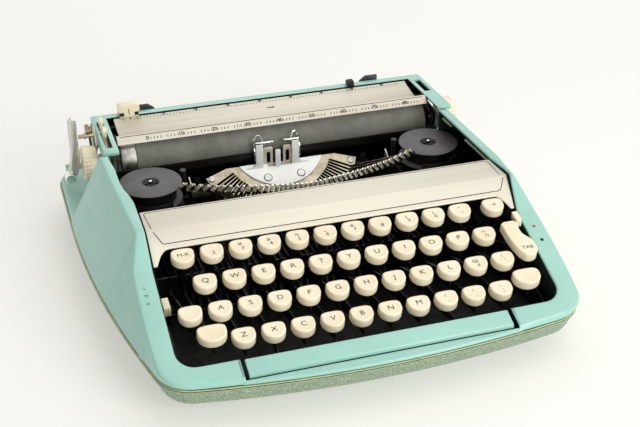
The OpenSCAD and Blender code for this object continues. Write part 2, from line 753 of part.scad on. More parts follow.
// Selector levers at the side walls: a pivoted arm with a ribbed head
module selector(s, y, z, x_in, x_out, half) {
    xa = plate_x - 3;
    color(ivory) difference() {
        union() {
            slab(s > 0 ? xa : -xa - 1.2, s > 0 ? xa + 1.2 : -xa,
                [[sel_y - 3.5, sel_z - 2], [sel_y, sel_z - 4], [sel_y + 3.5, sel_z], [sel_y + 3, sel_z + 3],
                    [y + 2, z - 2], [y + 2, z + 3], [y - 3, z + 3], [y - 3, z - 2], [sel_y - 3.5, sel_z + 2]]);
            slab(s > 0 ? x_in : -x_out, s > 0 ? x_out : -x_in,
                [[y - half, z - 1], [y + half, z - 1], [y + half, z + 6.5], [y - half, z + 5]]);
        }
        rod(-200, 200, sel_y, sel_z, sel_pin + run_gap);
    }
}

base_pan();
rubber_feet();
top_cover();
front_panel();
chassis();
key_comb();
spool_cups();
segment();
typebars();
segment_plate();
typebar_live();
ribbon_vibrator();
carriage_frame();
carriage_cover();
paper_table();
platen();
platen_knobs();
return_lever();
arm_lever(lever_ys[1]);  // line_space_lever
arm_lever(lever_ys[0]);  // paper_release_lever
margin_stop(-105.6, 17, 86, ivory);  // margin_stop_left
margin_stop(73.2, 5, 80.2, black);  // margin_stop_right
paper_bail();
paper_supports();
spool(-1);  // spool_left
spool(1);  // spool_right
space_bar();
shift_keys();
backspace_key();
margin_release_key();
tab_key();
selector(-1, -76, 42, 119.5, 124, 5);  // touch_selector
selector(1, -67, 58, 120, 124, 4);  // colour_selector
letter_key("a");  // key_a
letter_key("b");  // key_b
letter_key("c");  // key_c
letter_key("d");  // key_d
letter_key("e");  // key_e
letter_key("f");  // key_f
letter_key("g");  // key_g
letter_key("h");  // key_h
letter_key("i");  // key_i
letter_key("j");  // key_j
letter_key("k");  // key_k
letter_key("l");  // key_l
letter_key("m");  // key_m
letter_key("n");  // key_n
letter_key("o");  // key_o
letter_key("p");  // key_p
letter_key("q");  // key_q
letter_key("r");  // key_r
letter_key("s");  // key_s
letter_key("t");  // key_t
letter_key("u");  // key_u
letter_key("v");  // key_v
letter_key("w");  // key_w
letter_key("x");  // key_x
letter_key("y");  // key_y
letter_key("z");  // key_z
figure_keys();
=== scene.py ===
"""Portable typewriter in mint enamel: looks, floor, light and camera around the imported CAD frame.

Lengths are millimetres in the values below, and go through MM where Blender takes metres."""
import math

import bpy
from mathutils import Matrix, Vector


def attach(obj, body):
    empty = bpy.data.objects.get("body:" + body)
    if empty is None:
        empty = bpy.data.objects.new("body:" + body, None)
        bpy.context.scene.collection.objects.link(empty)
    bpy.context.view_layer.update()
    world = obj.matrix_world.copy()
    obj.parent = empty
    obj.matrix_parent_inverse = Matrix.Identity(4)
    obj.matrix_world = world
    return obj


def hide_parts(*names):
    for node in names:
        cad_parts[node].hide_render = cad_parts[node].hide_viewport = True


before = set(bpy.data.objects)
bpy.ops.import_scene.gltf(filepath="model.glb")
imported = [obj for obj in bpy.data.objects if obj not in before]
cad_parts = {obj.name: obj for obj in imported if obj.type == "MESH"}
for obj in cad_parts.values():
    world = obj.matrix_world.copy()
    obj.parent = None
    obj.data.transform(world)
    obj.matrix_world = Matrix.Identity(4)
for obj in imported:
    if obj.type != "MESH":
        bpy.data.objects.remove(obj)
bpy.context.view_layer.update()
MM = 0.001


# Materials


def hue(code):
    """Linear colour of an sRGB hex value such as B1DCD0"""
    def linear(v):
        return v / 12.92 if v <= 0.04045 else ((v + 0.055) / 1.055) ** 2.4
    return tuple(linear(int(code[i:i + 2], 16) / 255) for i in (0, 2, 4)) + (1.0,)


def add(tree, kind, settings=None, links=None):
    """Adds a node with its settings (properties or inputs) and its links (input to output socket)"""
    made = tree.nodes.new("ShaderNode" + kind)
    for key, value in (settings or {}).items():
        if isinstance(key, str) and hasattr(made, key):
            setattr(made, key, value)
        else:
            made.inputs[key].default_value = value
    for key, socket in (links or {}).items():
        tree.links.new(socket, made.inputs[key])
    return made


def new_material(name, **shader):
    """A material with its Principled shader, and the piece's Object coordinates"""
    made = bpy.data.materials.new(name)
    made.use_nodes = True
    tree = made.node_tree
    tree.nodes.clear()
    settings = {key.replace("_", " "): value for key, value in shader.items()}
    surface = add(tree, "BsdfPrincipled", settings)
    add(tree, "OutputMaterial", links={"Surface": surface.outputs[0]})
    place = add(tree, "TexCoord").outputs["Object"]
    return made, tree, surface, place


def noise(tree, place, size, detail=3.0, rough=0.5):
    """Noise whose blotches are about size millimetres across"""
    return add(tree, "TexNoise", {"Scale": 1 / (size * MM), "Detail": detail, "Roughness": rough},
               {"Vector": place}).outputs["Fac"]


def ramp(tree, value, *stops):
    """Colour ramp through (position, hex) stops"""
    made = add(tree, "ValToRGB", links={"Fac": value})
    for i, (at, code) in enumerate(stops):
        stop = made.color_ramp.elements[i] if i < 2 else made.color_ramp.elements.new(at)
        stop.position, stop.color = at, hue(code)
    return made.outputs["Color"]


def spread(tree, value, low, high, start=0.3, end=0.7):
    """A value between start and end stretched to low and high"""
    return add(tree, "MapRange", {"From Min": start, "From Max": end, "To Min": low, "To Max": high},
               {"Value": value}).outputs["Result"]


def rough_up(tree, surface, height, depth):
    """Bump of about depth millimetres"""
    bump = add(tree, "Bump", {"Strength": 1.0, "Distance": depth * MM}, {"Height": height})
    tree.links.new(bump.outputs["Normal"], surface.inputs["Normal"])


def drive(tree, surface, name, value):
    tree.links.new(value, surface.inputs[name])


def enamel():
    """Mint stoving enamel on sheet steel: even and glossy, with a faint orange peel and soiled patches"""
    made, tree, surface, place = new_material("mint_stoving_enamel", Coat_Weight=0.35, Coat_Roughness=0.12)
    drive(tree, surface, "Base Color", ramp(tree, noise(tree, place, 55), (0.3, "97CBBD"), (0.7, "A2D4C8")))
    drive(tree, surface, "Roughness", spread(tree, noise(tree, place, 12), 0.3, 0.42))
    rough_up(tree, surface, noise(tree, place, 2.5, 1.0), 0.02)
    return made


def splatter():
    """Pebble-splatter paint: raised olive-green spots run together on a paler green ground"""
    made, tree, surface, place = new_material("pebble_splatter_paint", Coat_Weight=0.1)
    pebble = add(tree, "TexVoronoi", {"feature": "SMOOTH_F1", "Scale": 1 / (1.3 * MM), "Smoothness": 0.6},
                 {"Vector": place}).outputs["Distance"]
    fine = noise(tree, place, 1.1, 4.0, 0.6)
    both = add(tree, "Math", {"operation": "ADD"}, {0: pebble, 1: fine}).outputs[0]
    drive(tree, surface, "Base Color",
          ramp(tree, both, (0.5, "B4C4AE"), (0.85, "9BAE93"), (1.2, "7E9279")))
    drive(tree, surface, "Roughness", spread(tree, fine, 0.38, 0.6))
    rough_up(tree, surface, both, 0.1)
    return made


def ivory():
    """Moulded urea plastic, aged from white to ivory: soft gloss, light goes a little way in"""
    made, tree, surface, place = new_material("moulded_ivory_urea", Subsurface_Weight=0.12,
                                              Subsurface_Scale=0.002, Coat_Weight=0.15, Coat_Roughness=0.2)
    drive(tree, surface, "Base Color", ramp(tree, noise(tree, place, 22), (0.25, "F3E6C6"), (0.75, "FCF1D6")))
    drive(tree, surface, "Roughness", spread(tree, noise(tree, place, 6), 0.3, 0.42))
    rough_up(tree, surface, noise(tree, place, 1.6, 2.0), 0.012)
    return made


def metal(name, pale, dark, gloss, dull, grain=None, spots=30, depth=0.01, bare=1.0):
    """Bare or plated metal, bare below 1 where a film dulls it. Grain scales the pattern along each axis"""
    made, tree, surface, place = new_material(name, Metallic=bare)
    if grain:
        place = add(tree, "Mapping", {"Scale": grain}, {"Vector": place}).outputs[0]
    soil = noise(tree, place, spots, 5.0, 0.6)
    drive(tree, surface, "Base Color", ramp(tree, soil, (0.3, dark), (0.7, pale)))
    drive(tree, surface, "Roughness", spread(tree, noise(tree, place, 0.9 if grain else 5, 3.0), gloss, dull))
    rough_up(tree, surface, noise(tree, place, 0.9, 2.0), depth)
    return made


def lacquer(name, pale, dark, gloss, dull, speck=1.2, depth=0.03, blotch=18, gleam=0.3):
    """Black or grey lacquer on pressed steel, dusty in blotches, also used as the flat dark colour of painted
    shade
    """
    made, tree, surface, place = new_material(name, Specular_IOR_Level=gleam)
    soil = noise(tree, place, blotch, 5.0, 0.6)
    drive(tree, surface, "Base Color", ramp(tree, soil, (0.35, dark), (0.7, pale)))
    drive(tree, surface, "Roughness", spread(tree, noise(tree, place, 4, 4.0), gloss, dull))
    rough_up(tree, surface, noise(tree, place, speck, 2.0), depth)
    return made


MINT = enamel()
SPLATTER = splatter()
IVORY = ivory()
PANEL = metal("brushed_anodised_aluminium", "E2DDCD", "D9D3C2", 0.38, 0.48, (0.03, 1, 1), 9, 0.006, 0.4)
SCALE_METAL = metal("satin_aluminium_scale", "DFDACB", "C2B9A5", 0.34, 0.48, (0.05, 1, 1), 20, 0.01, 0.5)
CHROME = metal("polished_chrome", "F8F8F6", "E6E6E2", 0.1, 0.2)
PLATED = metal("satin_plated_steel", "FDFDFB", "F6F6F3", 0.25, 0.35, None, 14, 0.005, 0.15)
WORN_CHROME = metal("worn_chrome_lever", "E9E5DF", "CFC9C2", 0.14, 0.26, None, 12, 0.01, 0.55)
NICKEL = metal("aged_nickel_casting", "CDC5AE", "9E957E", 0.35, 0.55, None, 7, 0.03)
TYPE_STEEL = metal("inky_type_steel", "A39C8B", "2E2B27", 0.3, 0.55, None, 2.5, 0.02)
LEVER_STEEL = metal("blued_lever_steel", "5C5B5C", "343334", 0.3, 0.5, None, 9, 0.02)
BRASS = metal("tarnished_brass", "A8997A", "6C604C", 0.28, 0.5, None, 3, 0.03)
FINGER = metal("matt_nickel_finger", "EFE9DA", "D5CCB6", 0.4, 0.55, None, 6, 0.02, 0.5)
BAND = metal("dull_zinc_band", "D6D4CC", "A9A69C", 0.3, 0.5, None, 4, 0.02)
# Black lacquer of the chassis and the inner walls, also painted shade in the slots and under the housing; the
# same steel where oil has stained it brown, also a painted shadow line on the bail
BLACK_AND_SHADE = lacquer("black_japan_lacquer_and_painted_shade", "171513", "0B0A0A", 0.35, 0.6)
OIL_STAIN_AND_SHADE = lacquer("oil_stained_steel_and_painted_shade", "3A2A20", "100E0D", 0.4, 0.65, 2.0, 0.05, 26)
SPOOL_GREY = lacquer("satin_grey_spool_enamel", "666564", "5B5A59", 0.38, 0.5, 0.8, 0.01, 12)
PLATEN_RUBBER = lacquer("worn_platen_rubber", "7D7C75", "696861", 0.45, 0.65, 0.9, 0.03, 11)
FOOT_RUBBER = lacquer("moulded_foot_rubber", "2C2B2A", "1C1B1B", 0.6, 0.8)
INK = lacquer("filled_legend_ink", "2A2826", "1B1A1A", 0.45, 0.6)
RED_DOT = lacquer("red_marking_enamel", "C4605A", "B5534E", 0.4, 0.5)
RIM = lacquer("yellowed_rim_enamel", "C9D3A6", "A9B78C", 0.35, 0.5, 1.5, 0.02, 8)
# Dark ring set into the gap between the cover and the pan: painted shadow of the gap
GAP_SHADOW = lacquer("painted_shadow_rim_gap", "35453A", "26332B", 0.5, 0.7)
# Dark green painted shade for the cover's hidden faces and the wells' walls
HOLLOW_SHADE = lacquer("painted_shade_inside", "22382F", "15241E", 0.5, 0.7)


# Modelling


def only(piece):
    """Selects one piece and nothing else"""
    bpy.ops.object.select_all(action="DESELECT")
    piece.select_set(True)
    bpy.context.view_layer.objects.active = piece
    return piece


def edit(piece, kind="VERT"):
    only(piece)
    bpy.ops.object.mode_set(mode="EDIT")
    bpy.ops.mesh.select_mode(type=kind)
    bpy.ops.mesh.select_all(action="DESELECT")


def leave():
    bpy.ops.object.mode_set(mode="OBJECT")


def weld(piece, reach=1e-6):
    """Merges the points that share a place, and leaves the piece open for editing"""
    edit(piece)
    bpy.ops.mesh.select_all(action="SELECT")
    bpy.ops.mesh.remove_doubles(threshold=reach)


def outward(piece):
    edit(piece, "FACE")
    bpy.ops.mesh.select_all(action="SELECT")
    bpy.ops.mesh.normals_make_consistent(inside=False)
    leave()
    return piece


def skin(rings, loop=False):
    """A grid laid over rings of points and joined along its seam. Its ends are closed, or meet in a loop"""
    across, tall = len(rings[0]), len(rings)
    wide = across + 1
    bpy.ops.object.select_all(action="DESELECT")
    bpy.ops.mesh.primitive_grid_add(x_subdivisions=across, y_subdivisions=tall if loop else tall - 1, size=1)
    piece = bpy.context.object
    for i, point in enumerate(piece.data.vertices):
        point.co = Vector(rings[(i // wide) % tall][(i % wide) % across]) * MM
    weld(piece)
    if not loop:
        bpy.ops.mesh.select_all(action="SELECT")
        bpy.ops.mesh.fill_holes(sides=0)
    leave()
    return outward(piece)


def rounded(points, radius, steps=4, closed=True):
    """Points of a line with its corners turned into arcs. radius is one number or one for each corner"""
    found = []
    count = len(points)
    for i, here in enumerate(points):
        here = Vector(here)
        r = radius[i] if isinstance(radius, (list, tuple)) else radius
        if r <= 0 or (not closed and i in (0, count - 1)):
            found.append(here)
            continue
        back, on = Vector(points[i - 1]) - here, Vector(points[(i + 1) % count]) - here
        angle = back.angle(on)
        reach = min(r / math.tan(angle / 2), back.length * 0.48, on.length * 0.48)
        r = reach * math.tan(angle / 2)
        a, b = here + back.normalized() * reach, here + on.normalized() * reach
        middle = here + (back.normalized() + on.normalized()).normalized() * (r / math.sin(angle / 2))
        for k in range(steps + 1):
            way = (a - middle).lerp(b - middle, k / steps)
            found.append(middle + way.normalized() * r)
    return found


def rounded_flat(pairs, radius, steps=4):
    """The same for a closed outline of flat pairs"""
    return [(p.x, p.y) for p in rounded([(*pair, 0) for pair in pairs], radius, steps)]


def across_x(x0, x1, outline):
    """Side profile [y, z] made solid from x0 to x1"""
    return skin([[(x, y, z) for y, z in outline] for x in (x0, x1)])


def upright(z0, z1, outline):
    """Plan outline [x, y] made solid from z0 to z1"""
    return skin([[(x, y, z) for x, y in outline] for z in (z0, z1)])


def along_y(y0, y1, outline):
    """Front outline [x, z] made solid from y0 to y1"""
    return skin([[(x, y, z) for x, z in outline] for y in (y0, y1)])


def turned(profile, centre, axis="Z", sides=64):
    """Profile of (radius, distance along the axis) pairs turned about the axis"""
    rings = []
    for r, h in profile:
        ring = []
        for k in range(sides):
            a = 2 * math.pi * k / sides
            p = (r * math.cos(a), r * math.sin(a), h)
            ring.append(Vector(centre) + Vector(p if axis == "Z" else (p[2], p[0], p[1])))
        rings.append(ring)
    return skin(rings)


def bar(x0, x1, y, z, r, sides=24):
    return turned([(r, x0), (r, x1)], (0, y, z), "X", sides)


def box(x0, x1, y0, y1, z0, z1):
    return upright(z0, z1, [(x0, y0), (x1, y0), (x1, y1), (x0, y1)])


def soften(piece, width, steps=2, angle=30):
    """Bevel on every edge sharper than angle"""
    only(piece)
    change = piece.modifiers.new("edges", "BEVEL")
    change.width, change.segments = width * MM, steps
    change.limit_method, change.angle_limit = "ANGLE", math.radians(angle)
    change.use_clamp_overlap = True
    bpy.ops.object.modifier_apply(modifier=change.name)
    return piece


def cut(piece, *tools):
    """Takes the tools' material out of the piece"""
    for tool in tools:
        only(piece)
        change = piece.modifiers.new("cut", "BOOLEAN")
        change.operation, change.object, change.solver = "DIFFERENCE", tool, "EXACT"
        bpy.ops.object.modifier_apply(modifier=change.name)
        bpy.data.objects.remove(tool)
    return piece


def paint(piece, material):
    piece.data.materials.clear()
    piece.data.materials.append(material)
    return piece


def together(*pieces):
    """Joins painted pieces to the first"""
    bpy.ops.object.select_all(action="DESELECT")
    for piece in pieces:
        piece.select_set(True)
    bpy.context.view_layer.objects.active = pieces[0]
    if len(pieces) > 1:
        bpy.ops.object.join()
    return bpy.context.object


def copy_of(piece, place):
    """A copy with its own mesh, moved by a matrix"""
    made = piece.copy()
    made.data = piece.data.copy()
    bpy.context.scene.collection.objects.link(made)
    made.data.transform(place)
    return made


def finish(piece, name, body, *nodes, slot=None, smooth=35):
    """Names the piece, smooths it, and lets it ride on its body in place of the nodes"""
    only(piece)
    bpy.ops.object.transform_apply(location=True, rotation=True, scale=True)
    bpy.ops.object.shade_smooth_by_angle(angle=math.radians(smooth))
    piece.name = piece.data.name = name
    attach(piece, body)
    if nodes:
        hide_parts(*nodes)
    return piece


def from_node(node):
    """A copy of a CAD node's mesh, merged and cleared of needless edges"""
    piece = bpy.data.objects.new(node + "_copy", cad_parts[node].data.copy())
    bpy.context.scene.collection.objects.link(piece)
    piece.data.materials.clear()
    weld(piece)
    bpy.ops.mesh.dissolve_limited(angle_limit=math.radians(0.5))
    leave()
    return piece


def lettering(text, size, origin, right, up, stretch=1.0, thick=0.05, bold=0.0):
    """Printed characters in the plane of right and up, centred on origin. size is a capital's height"""
    bpy.ops.object.select_all(action="DESELECT")
    bpy.ops.object.text_add()
    words = bpy.context.object.data
    words.body = text
    words.align_x, words.align_y = "CENTER", "CENTER"
    words.size, words.extrude, words.offset = size / 0.7 * MM, thick * MM, bold * MM
    words.resolution_u = 3
    bpy.ops.object.convert(target="MESH")
    piece = only(bpy.context.object)
    right, up = Vector(right).normalized(), Vector(up).normalized()
    axes = Matrix((right, up, right.cross(up))).transposed().to_4x4()
    place = Matrix.Translation(Vector(origin) * MM) @ axes
    piece.data.transform(place @ Matrix.Diagonal((stretch, 1, 1, 1)))
    weld(piece, 1e-7)
    leave()
    return paint(piece, INK)


def placed(place, lean=0.0):
    """Matrix that leans a piece about X and then moves it to a place in millimetres"""
    return Matrix.Translation(Vector(place) * MM) @ Matrix.Rotation(lean, 4, "X")


def tint(piece, material, test):
    """Gives a second material to the faces that pass the test"""
    if material.name not in piece.data.materials:
        piece.data.materials.append(material)
    slot = piece.data.materials.find(material.name)
    for face in piece.data.polygons:
        if test(face.center / MM, face.normal):
            face.material_index = slot
    return piece


def course(path, i):
    """Way that a path runs at its point i"""
    return Vector(path[min(i + 1, len(path) - 1)]) - Vector(path[max(i - 1, 0)])


def strip(path, normal, width, height):
    """Flat strip that follows a path, its top height above it"""
    rings = []
    normal = Vector(normal).normalized()
    for i, here in enumerate(path):
        side = course(path, i).cross(normal).normalized() * width / 2
        rings.append([Vector(here) + offset for offset in
                      (side, side + normal * height, -side + normal * height, -side)])
    return skin(rings)


def wire(path, r, sides=10):
    """Round wire of radius r along a path"""
    rings = []
    lead = Vector((0.31, 0.22, 0.93))
    for i, here in enumerate(path):
        way = course(path, i).normalized()
        lead = (lead - way * lead.dot(way)).normalized()
        other = way.cross(lead)
        rings.append([Vector(here) + (lead * math.cos(a) + other * math.sin(a)) * r
                      for a in (2 * math.pi * k / sides for k in range(sides))])
    return skin(rings)


def resample(line, count):
    """count points spread evenly along a line"""
    line = [Vector(p) for p in line]
    reach = [0.0]
    for a, b in zip(line, line[1:]):
        reach.append(reach[-1] + (b - a).length)
    found, k = [], 0
    for i in range(count):
        want = reach[-1] * i / (count - 1)
        while k < len(line) - 2 and reach[k + 1] < want:
            k += 1
        span = reach[k + 1] - reach[k]
        found.append(line[k].lerp(line[k + 1], (want - reach[k]) / span if span else 0))
    return found


def along(table, at):
    """Value at a place between the (place, value) pairs of a rising table"""
    for (a, va), (b, vb) in zip(table, table[1:]):
        if at <= b:
            return va + (vb - va) * max(0.0, (at - a) / (b - a))
    return table[-1][1]


# Shells
SIDE_X, END_Y = 164.0, 155.0
# Radii of the bowed sides and front, and the place where the sides' bow begins
SIDE_BOW, FRONT_BOW = 770.0, 680.0
BOW_FROM_Y = 68.0
CORNER = 25.0
RIM_Z = 29.5
FOOT_Z = 3.5
FOOT_AT = 100
# How far the cover's lowest edge stands in from the rim's outline, and its top edge at the front
RIM_INSET, TOP_INSET = 0.6, 2.6


def half_outline(inset, steps=14):
    """Right half of the body in plan, from the middle of the front to the middle of the rear"""
    turn = max(CORNER - inset, 5)
    front, side = Vector((0, FRONT_BOW - END_Y)), Vector((SIDE_X - SIDE_BOW, BOW_FROM_Y))
    ra, rb = FRONT_BOW - inset - turn, SIDE_BOW - inset - turn
    gap = (side - front).length
    k = (ra * ra - rb * rb + gap * gap) / (2 * gap)
    way = (side - front) / gap
    corner = front + way * k + Vector((-way.y, way.x)) * math.sqrt(ra * ra - k * k)
    at = math.atan2(corner.x, front.y - corner.y)
    bt = math.atan2(corner.y - side.y, corner.x - side.x)
    rear = Vector((SIDE_X - inset - turn, END_Y - inset - turn))
    found = []
    for j in range(steps):
        a = at * j / steps
        found.append(front + (FRONT_BOW - inset) * Vector((math.sin(a), -math.cos(a))))
    for j in range(steps + 1):
        a = at - math.pi / 2 + (bt - at + math.pi / 2) * j / steps
        found.append(corner + turn * Vector((math.cos(a), math.sin(a))))
    for j in range(1, steps + 1):
        a = bt * (1 - j / steps)
        found.append(side + (SIDE_BOW - inset) * Vector((math.cos(a), math.sin(a))))
    for j in range(steps + 1):
        a = math.pi / 2 * j / steps
        found.append(rear + turn * Vector((math.cos(a), math.sin(a))))
    return found


def body_ring(inset, z):
    half = half_outline(inset)
    return [(p.x, p.y, z) for p in half] + [(-p.x, p.y, z) for p in reversed(half[1:])]


def side_at(y, inset=0.0):
    """X of the rim's side at y"""
    bow = SIDE_BOW - inset
    return SIDE_X - SIDE_BOW + math.sqrt(bow * bow - min(y - BOW_FROM_Y, 0) ** 2)


def front_at(x, inset=0.0):
    bow = FRONT_BOW - inset
    return FRONT_BOW - END_Y - math.sqrt(bow * bow - x * x)


# Base pan: floor, rounded underside, wall, rolled rim, then back down inside
outside = [(v.y, v.z) for v in rounded([(0, 35, FOOT_Z), (0, 6, 14), (0, 0.9, 27.4)], [0, 12, 0], 8,
                                       closed=False)]
rim_roll = [(0.25, 27.8), (0.0, 28.4), (0.05, 29.0), (0.5, 29.45), (1.6, 29.5), (2.0, 29.2)]
inside = [(7.4, 16.5), (9.5, 14.6), (36, FOOT_Z + 2)]
pan = paint(skin([body_ring(inset, z) for inset, z in outside + rim_roll + inside]), SPLATTER)
tint(pan, RIM, lambda c, n: c.z > 27.7)
tint(pan, BLACK_AND_SHADE, lambda c, n: c.z < 29 and n.z > 0.02)
# A dark ring inside the gap under the cover's edge is painted shadow
gap_shadow_ring = paint(skin([body_ring(1.1, 29.3), body_ring(1.1, 30.3), body_ring(2.4, 30.3), body_ring(2.4, 29.3)],
                    loop=True), GAP_SHADOW)
finish(together(pan, gap_shadow_ring), "base_pan_shell", "root", "base_pan", slot="splatter")

foot = [(0.5, 0), (5.2, 0), (5.6, 0.5), (6.4, 0.5), (6.8, 0), (8.2, 0), (8.9, 0.6), (8.4, 3.5), (0.5, 3.5)]
feet = [paint(turned(foot, (x, y, 0), sides=40), FOOT_RUBBER)
        for y in (-FOOT_AT, FOOT_AT) for x in (-FOOT_AT, FOOT_AT)]
finish(together(*feet), "rubber_feet_set", "root", "rubber_feet", slot="rubber")

# Top cover: sections across the wall at stations from the cheek's rear round to the space bar's end
WELL_Y = -132.3
NOTCH_X = 88.0
CHEEK_END_Y = 71.0
TOP = [(p.y, p.z) for p in rounded([(0, -150, 32.55), (0, -58.8, 62.2), (0, -38.2, 80), (0, CHEEK_END_Y, 80)],
                                   [0, 3, 5, 0], 4, closed=False)]
FRONT_OUT = [(-140, 138.9), (-94, 139.6), (-65, 138.9), (-58, 138.3), (-40, 131.8)]
FRONT_IN = [(-140, 125.8), (-60, 125.8), (-40, 126.0)]
OUTER_X = {-1: FRONT_OUT + [(-11, 133.9), (35, 136.9), (71, 138.2)],
           1: FRONT_OUT + [(-36, 130.8), (-12, 132.0), (71, 127.2)]}
INNER_X = {-1: FRONT_IN + [(4, 125.9), (25, 130.4), (51, 130.6), (67, 132.2), (71, 132.4)],
           1: [(-140, 125.8), (-60, 125.8), (-38, 128.8), (-30, 128.4), (-12, 125.4), (71, 120.6)]}
TURN_X, TURN_Y, TURNS = 98.0, -104.0, 26
COVER_Z = RIM_Z + 0.6
LOW_Z = 27.0
# Behind this place the right cheek is open beneath, and its inner wall is this deep
OPEN_Y, OPEN_DEPTH = -12.0, 2.8
# Thickness of the wall, and radii at its rim, its top's outer and inner edge and its foot
SHEET = 2.2
EDGES = [0.5, 2.2, 1.2, 0.4]


def top_z(y):
    return along(TOP, y)


def on_top(place):
    """Point of the cover's top at a place in plan"""
    return (place[0], place[1], top_z(place[1]))


def wall_section(rim, outer, inner, low):
    """Ring round a sheet wall that rises from the rim, runs in along the top and drops to low"""
    rim, outer, inner = Vector(rim), Vector(outer), Vector(inner)
    out = outer - inner
    out.z = 0
    out = out.normalized() * SHEET
    down = Vector((0, 0, -SHEET))
    foot = Vector((inner.x, inner.y, low))
    return rounded([rim, outer, inner, foot, foot + out, inner + out + down, outer - out + down, rim - out],
                   EDGES + [0, 0.8, 0.8, 0], 4)


stations = sorted({round(y, 3) for y, z in TOP if y > TURN_Y} | set(range(-100, 71, 10))
                  | {CHEEK_END_Y, OPEN_Y + 1, OPEN_Y - 0.5}, reverse=True)
rim_corner = [tuple(p) for p in reversed(half_outline(RIM_INSET, 30))
              if p.y < TURN_Y - 0.5 and p.x > TURN_X + 0.5]


def cover_arm(side):
    """Cheek and frame of one side, from the cheek's rear face round the corner to the space bar's end"""
    rim = [(side_at(y, RIM_INSET), y) for y in stations]
    outer = [(along(OUTER_X[side], y), y) for y in stations]
    inner = [(along(INNER_X[side], y), y) for y in stations]
    low = [top_z(y) - OPEN_DEPTH if side > 0 and y > OPEN_Y else LOW_Z for y in stations]
    rim_turn = [(rim[-1][0], TURN_Y)] + rim_corner + [(TURN_X, front_at(TURN_X, RIM_INSET))]
    outer_turn = rounded([(outer[-1][0], TURN_Y, 0), (138.6, -142.6, 0),
                          (TURN_X, front_at(TURN_X, TOP_INSET), 0)], [0, 15, 0], 14, closed=False)
    inner_turn = rounded([(inner[-1][0], TURN_Y, 0), (125.8, WELL_Y, 0), (TURN_X, WELL_Y, 0)],
                         [0, 12, 0], 14, closed=False)
    for line, turn in ((rim, rim_turn), (outer, outer_turn), (inner, inner_turn)):
        line += [tuple(p)[:2] for p in resample(turn, TURNS)]
    for x in (94.0, NOTCH_X + 0.8):
        rim.append((x, front_at(x, RIM_INSET)))
        outer.append((x, front_at(x, TOP_INSET)))
        inner.append((x, WELL_Y))
    low += [LOW_Z] * (TURNS + 2)
    shell = skin([wall_section((*r, COVER_Z), on_top(o), on_top(i), z)
                  for r, o, i, z in zip(rim, outer, inner, low)])
    ends = []
    for k, away in ((0, (0, 1, 0)), (-1, (-1, 0, 0))):
        ring = rounded([(*rim[k], COVER_Z), on_top(outer[k]), on_top(inner[k]), (*inner[k], LOW_Z)], EDGES, 4)
        ends.append(soften(skin([[p - Vector(away) * 1.6 for p in ring], ring]), 0.5, 2))
    made = paint(together(shell, *ends), MINT)
    # Hidden faces of the hollow, and the wells' walls, are painted dark green as painted shade
    tint(made, HOLLOW_SHADE, lambda c, n: (c.z < top_z(c.y) - 1.7 and c.x < side_at(c.y) - 2 and n.x < 0.2
                                     and c.y > -58))
    tint(made, HOLLOW_SHADE, lambda c, n: c.z < top_z(c.y) - 3.5 and n.x < -0.7 and c.x < 127)
    if side < 0:
        made.data.transform(Matrix.Diagonal((-1, 1, 1, 1)))
        outward(made)
    return made


arms = [cover_arm(side) for side in (1, -1)]
# Pale lips under the right cheek's inner edge
lips = []
for front, rear in (((125.1, -8), (122.9, 26)), ((121.8, 50), (120.9, 64))):
    rail = skin([[(x, y, 76.2), (x + 2.0, y, 76.2), (x + 2.0, y, 74.6), (x, y, 74.6)]
                 for x, y in (front, rear)])
    lips.append(paint(soften(rail, 0.3, 2), RIM))

# Lip under the space bar
LIP_STEPS = 24
lip_rings = []
for k in range(LIP_STEPS + 1):
    x = -NOTCH_X - 1 + (2 * NOTCH_X + 2) * k / LIP_STEPS
    lip_rings.append(rounded([(x, front_at(x, RIM_INSET), COVER_Z), (x, front_at(x, 1.0), 32.2),
                              (x, -146.6, 32.2), (x, -146.4, 24.0), (x, -147.4, 24.0),
                              (x, front_at(x, 3.0), COVER_Z)], [0.3, 0.9, 0.4, 0, 0, 0], 3))
lip = paint(skin(lip_rings), MINT)
tint(lip, BLACK_AND_SHADE, lambda c, n: c.y > -146.7 and c.z < 31.6)

# Low deck round the rear, half of it made from three plan lines and the other half mirrored
DECK_X, DECK_Y, DECK_STEPS = 124, 147, 60


def rear_line(inset):
    """Plan line from the cheek's rear face round to the middle of the rear"""
    rear = [tuple(p) for p in half_outline(inset, 30) if p.y >= CHEEK_END_Y - 0.1]
    return resample([(side_at(CHEEK_END_Y, inset), CHEEK_END_Y)] + rear + [(0, END_Y - inset)], DECK_STEPS)


deck_in = rounded([(DECK_X, CHEEK_END_Y, 0), (DECK_X, DECK_Y, 0), (0, DECK_Y, 0)], [0, 4, 0], 8, closed=False)
rings = [rounded([(r.x, r.y, COVER_Z), (t.x, t.y, 33.9), (i.x, i.y, 34), (i.x, i.y, 31), (t.x, t.y, 31.4)],
                 [0.4, 1.8, 0.6, 0, 0], 3)
         for r, t, i in zip(rear_line(RIM_INSET), rear_line(3.0), resample(deck_in, DECK_STEPS))]
rings += [[Vector((-p.x, p.y, p.z)) for p in ring] for ring in reversed(rings[:-1])]
deck = paint(skin(rings), MINT)
finish(together(*arms, *lips, lip, deck), "mint_top_cover", "root", "top_cover", slot="mint", smooth=40)

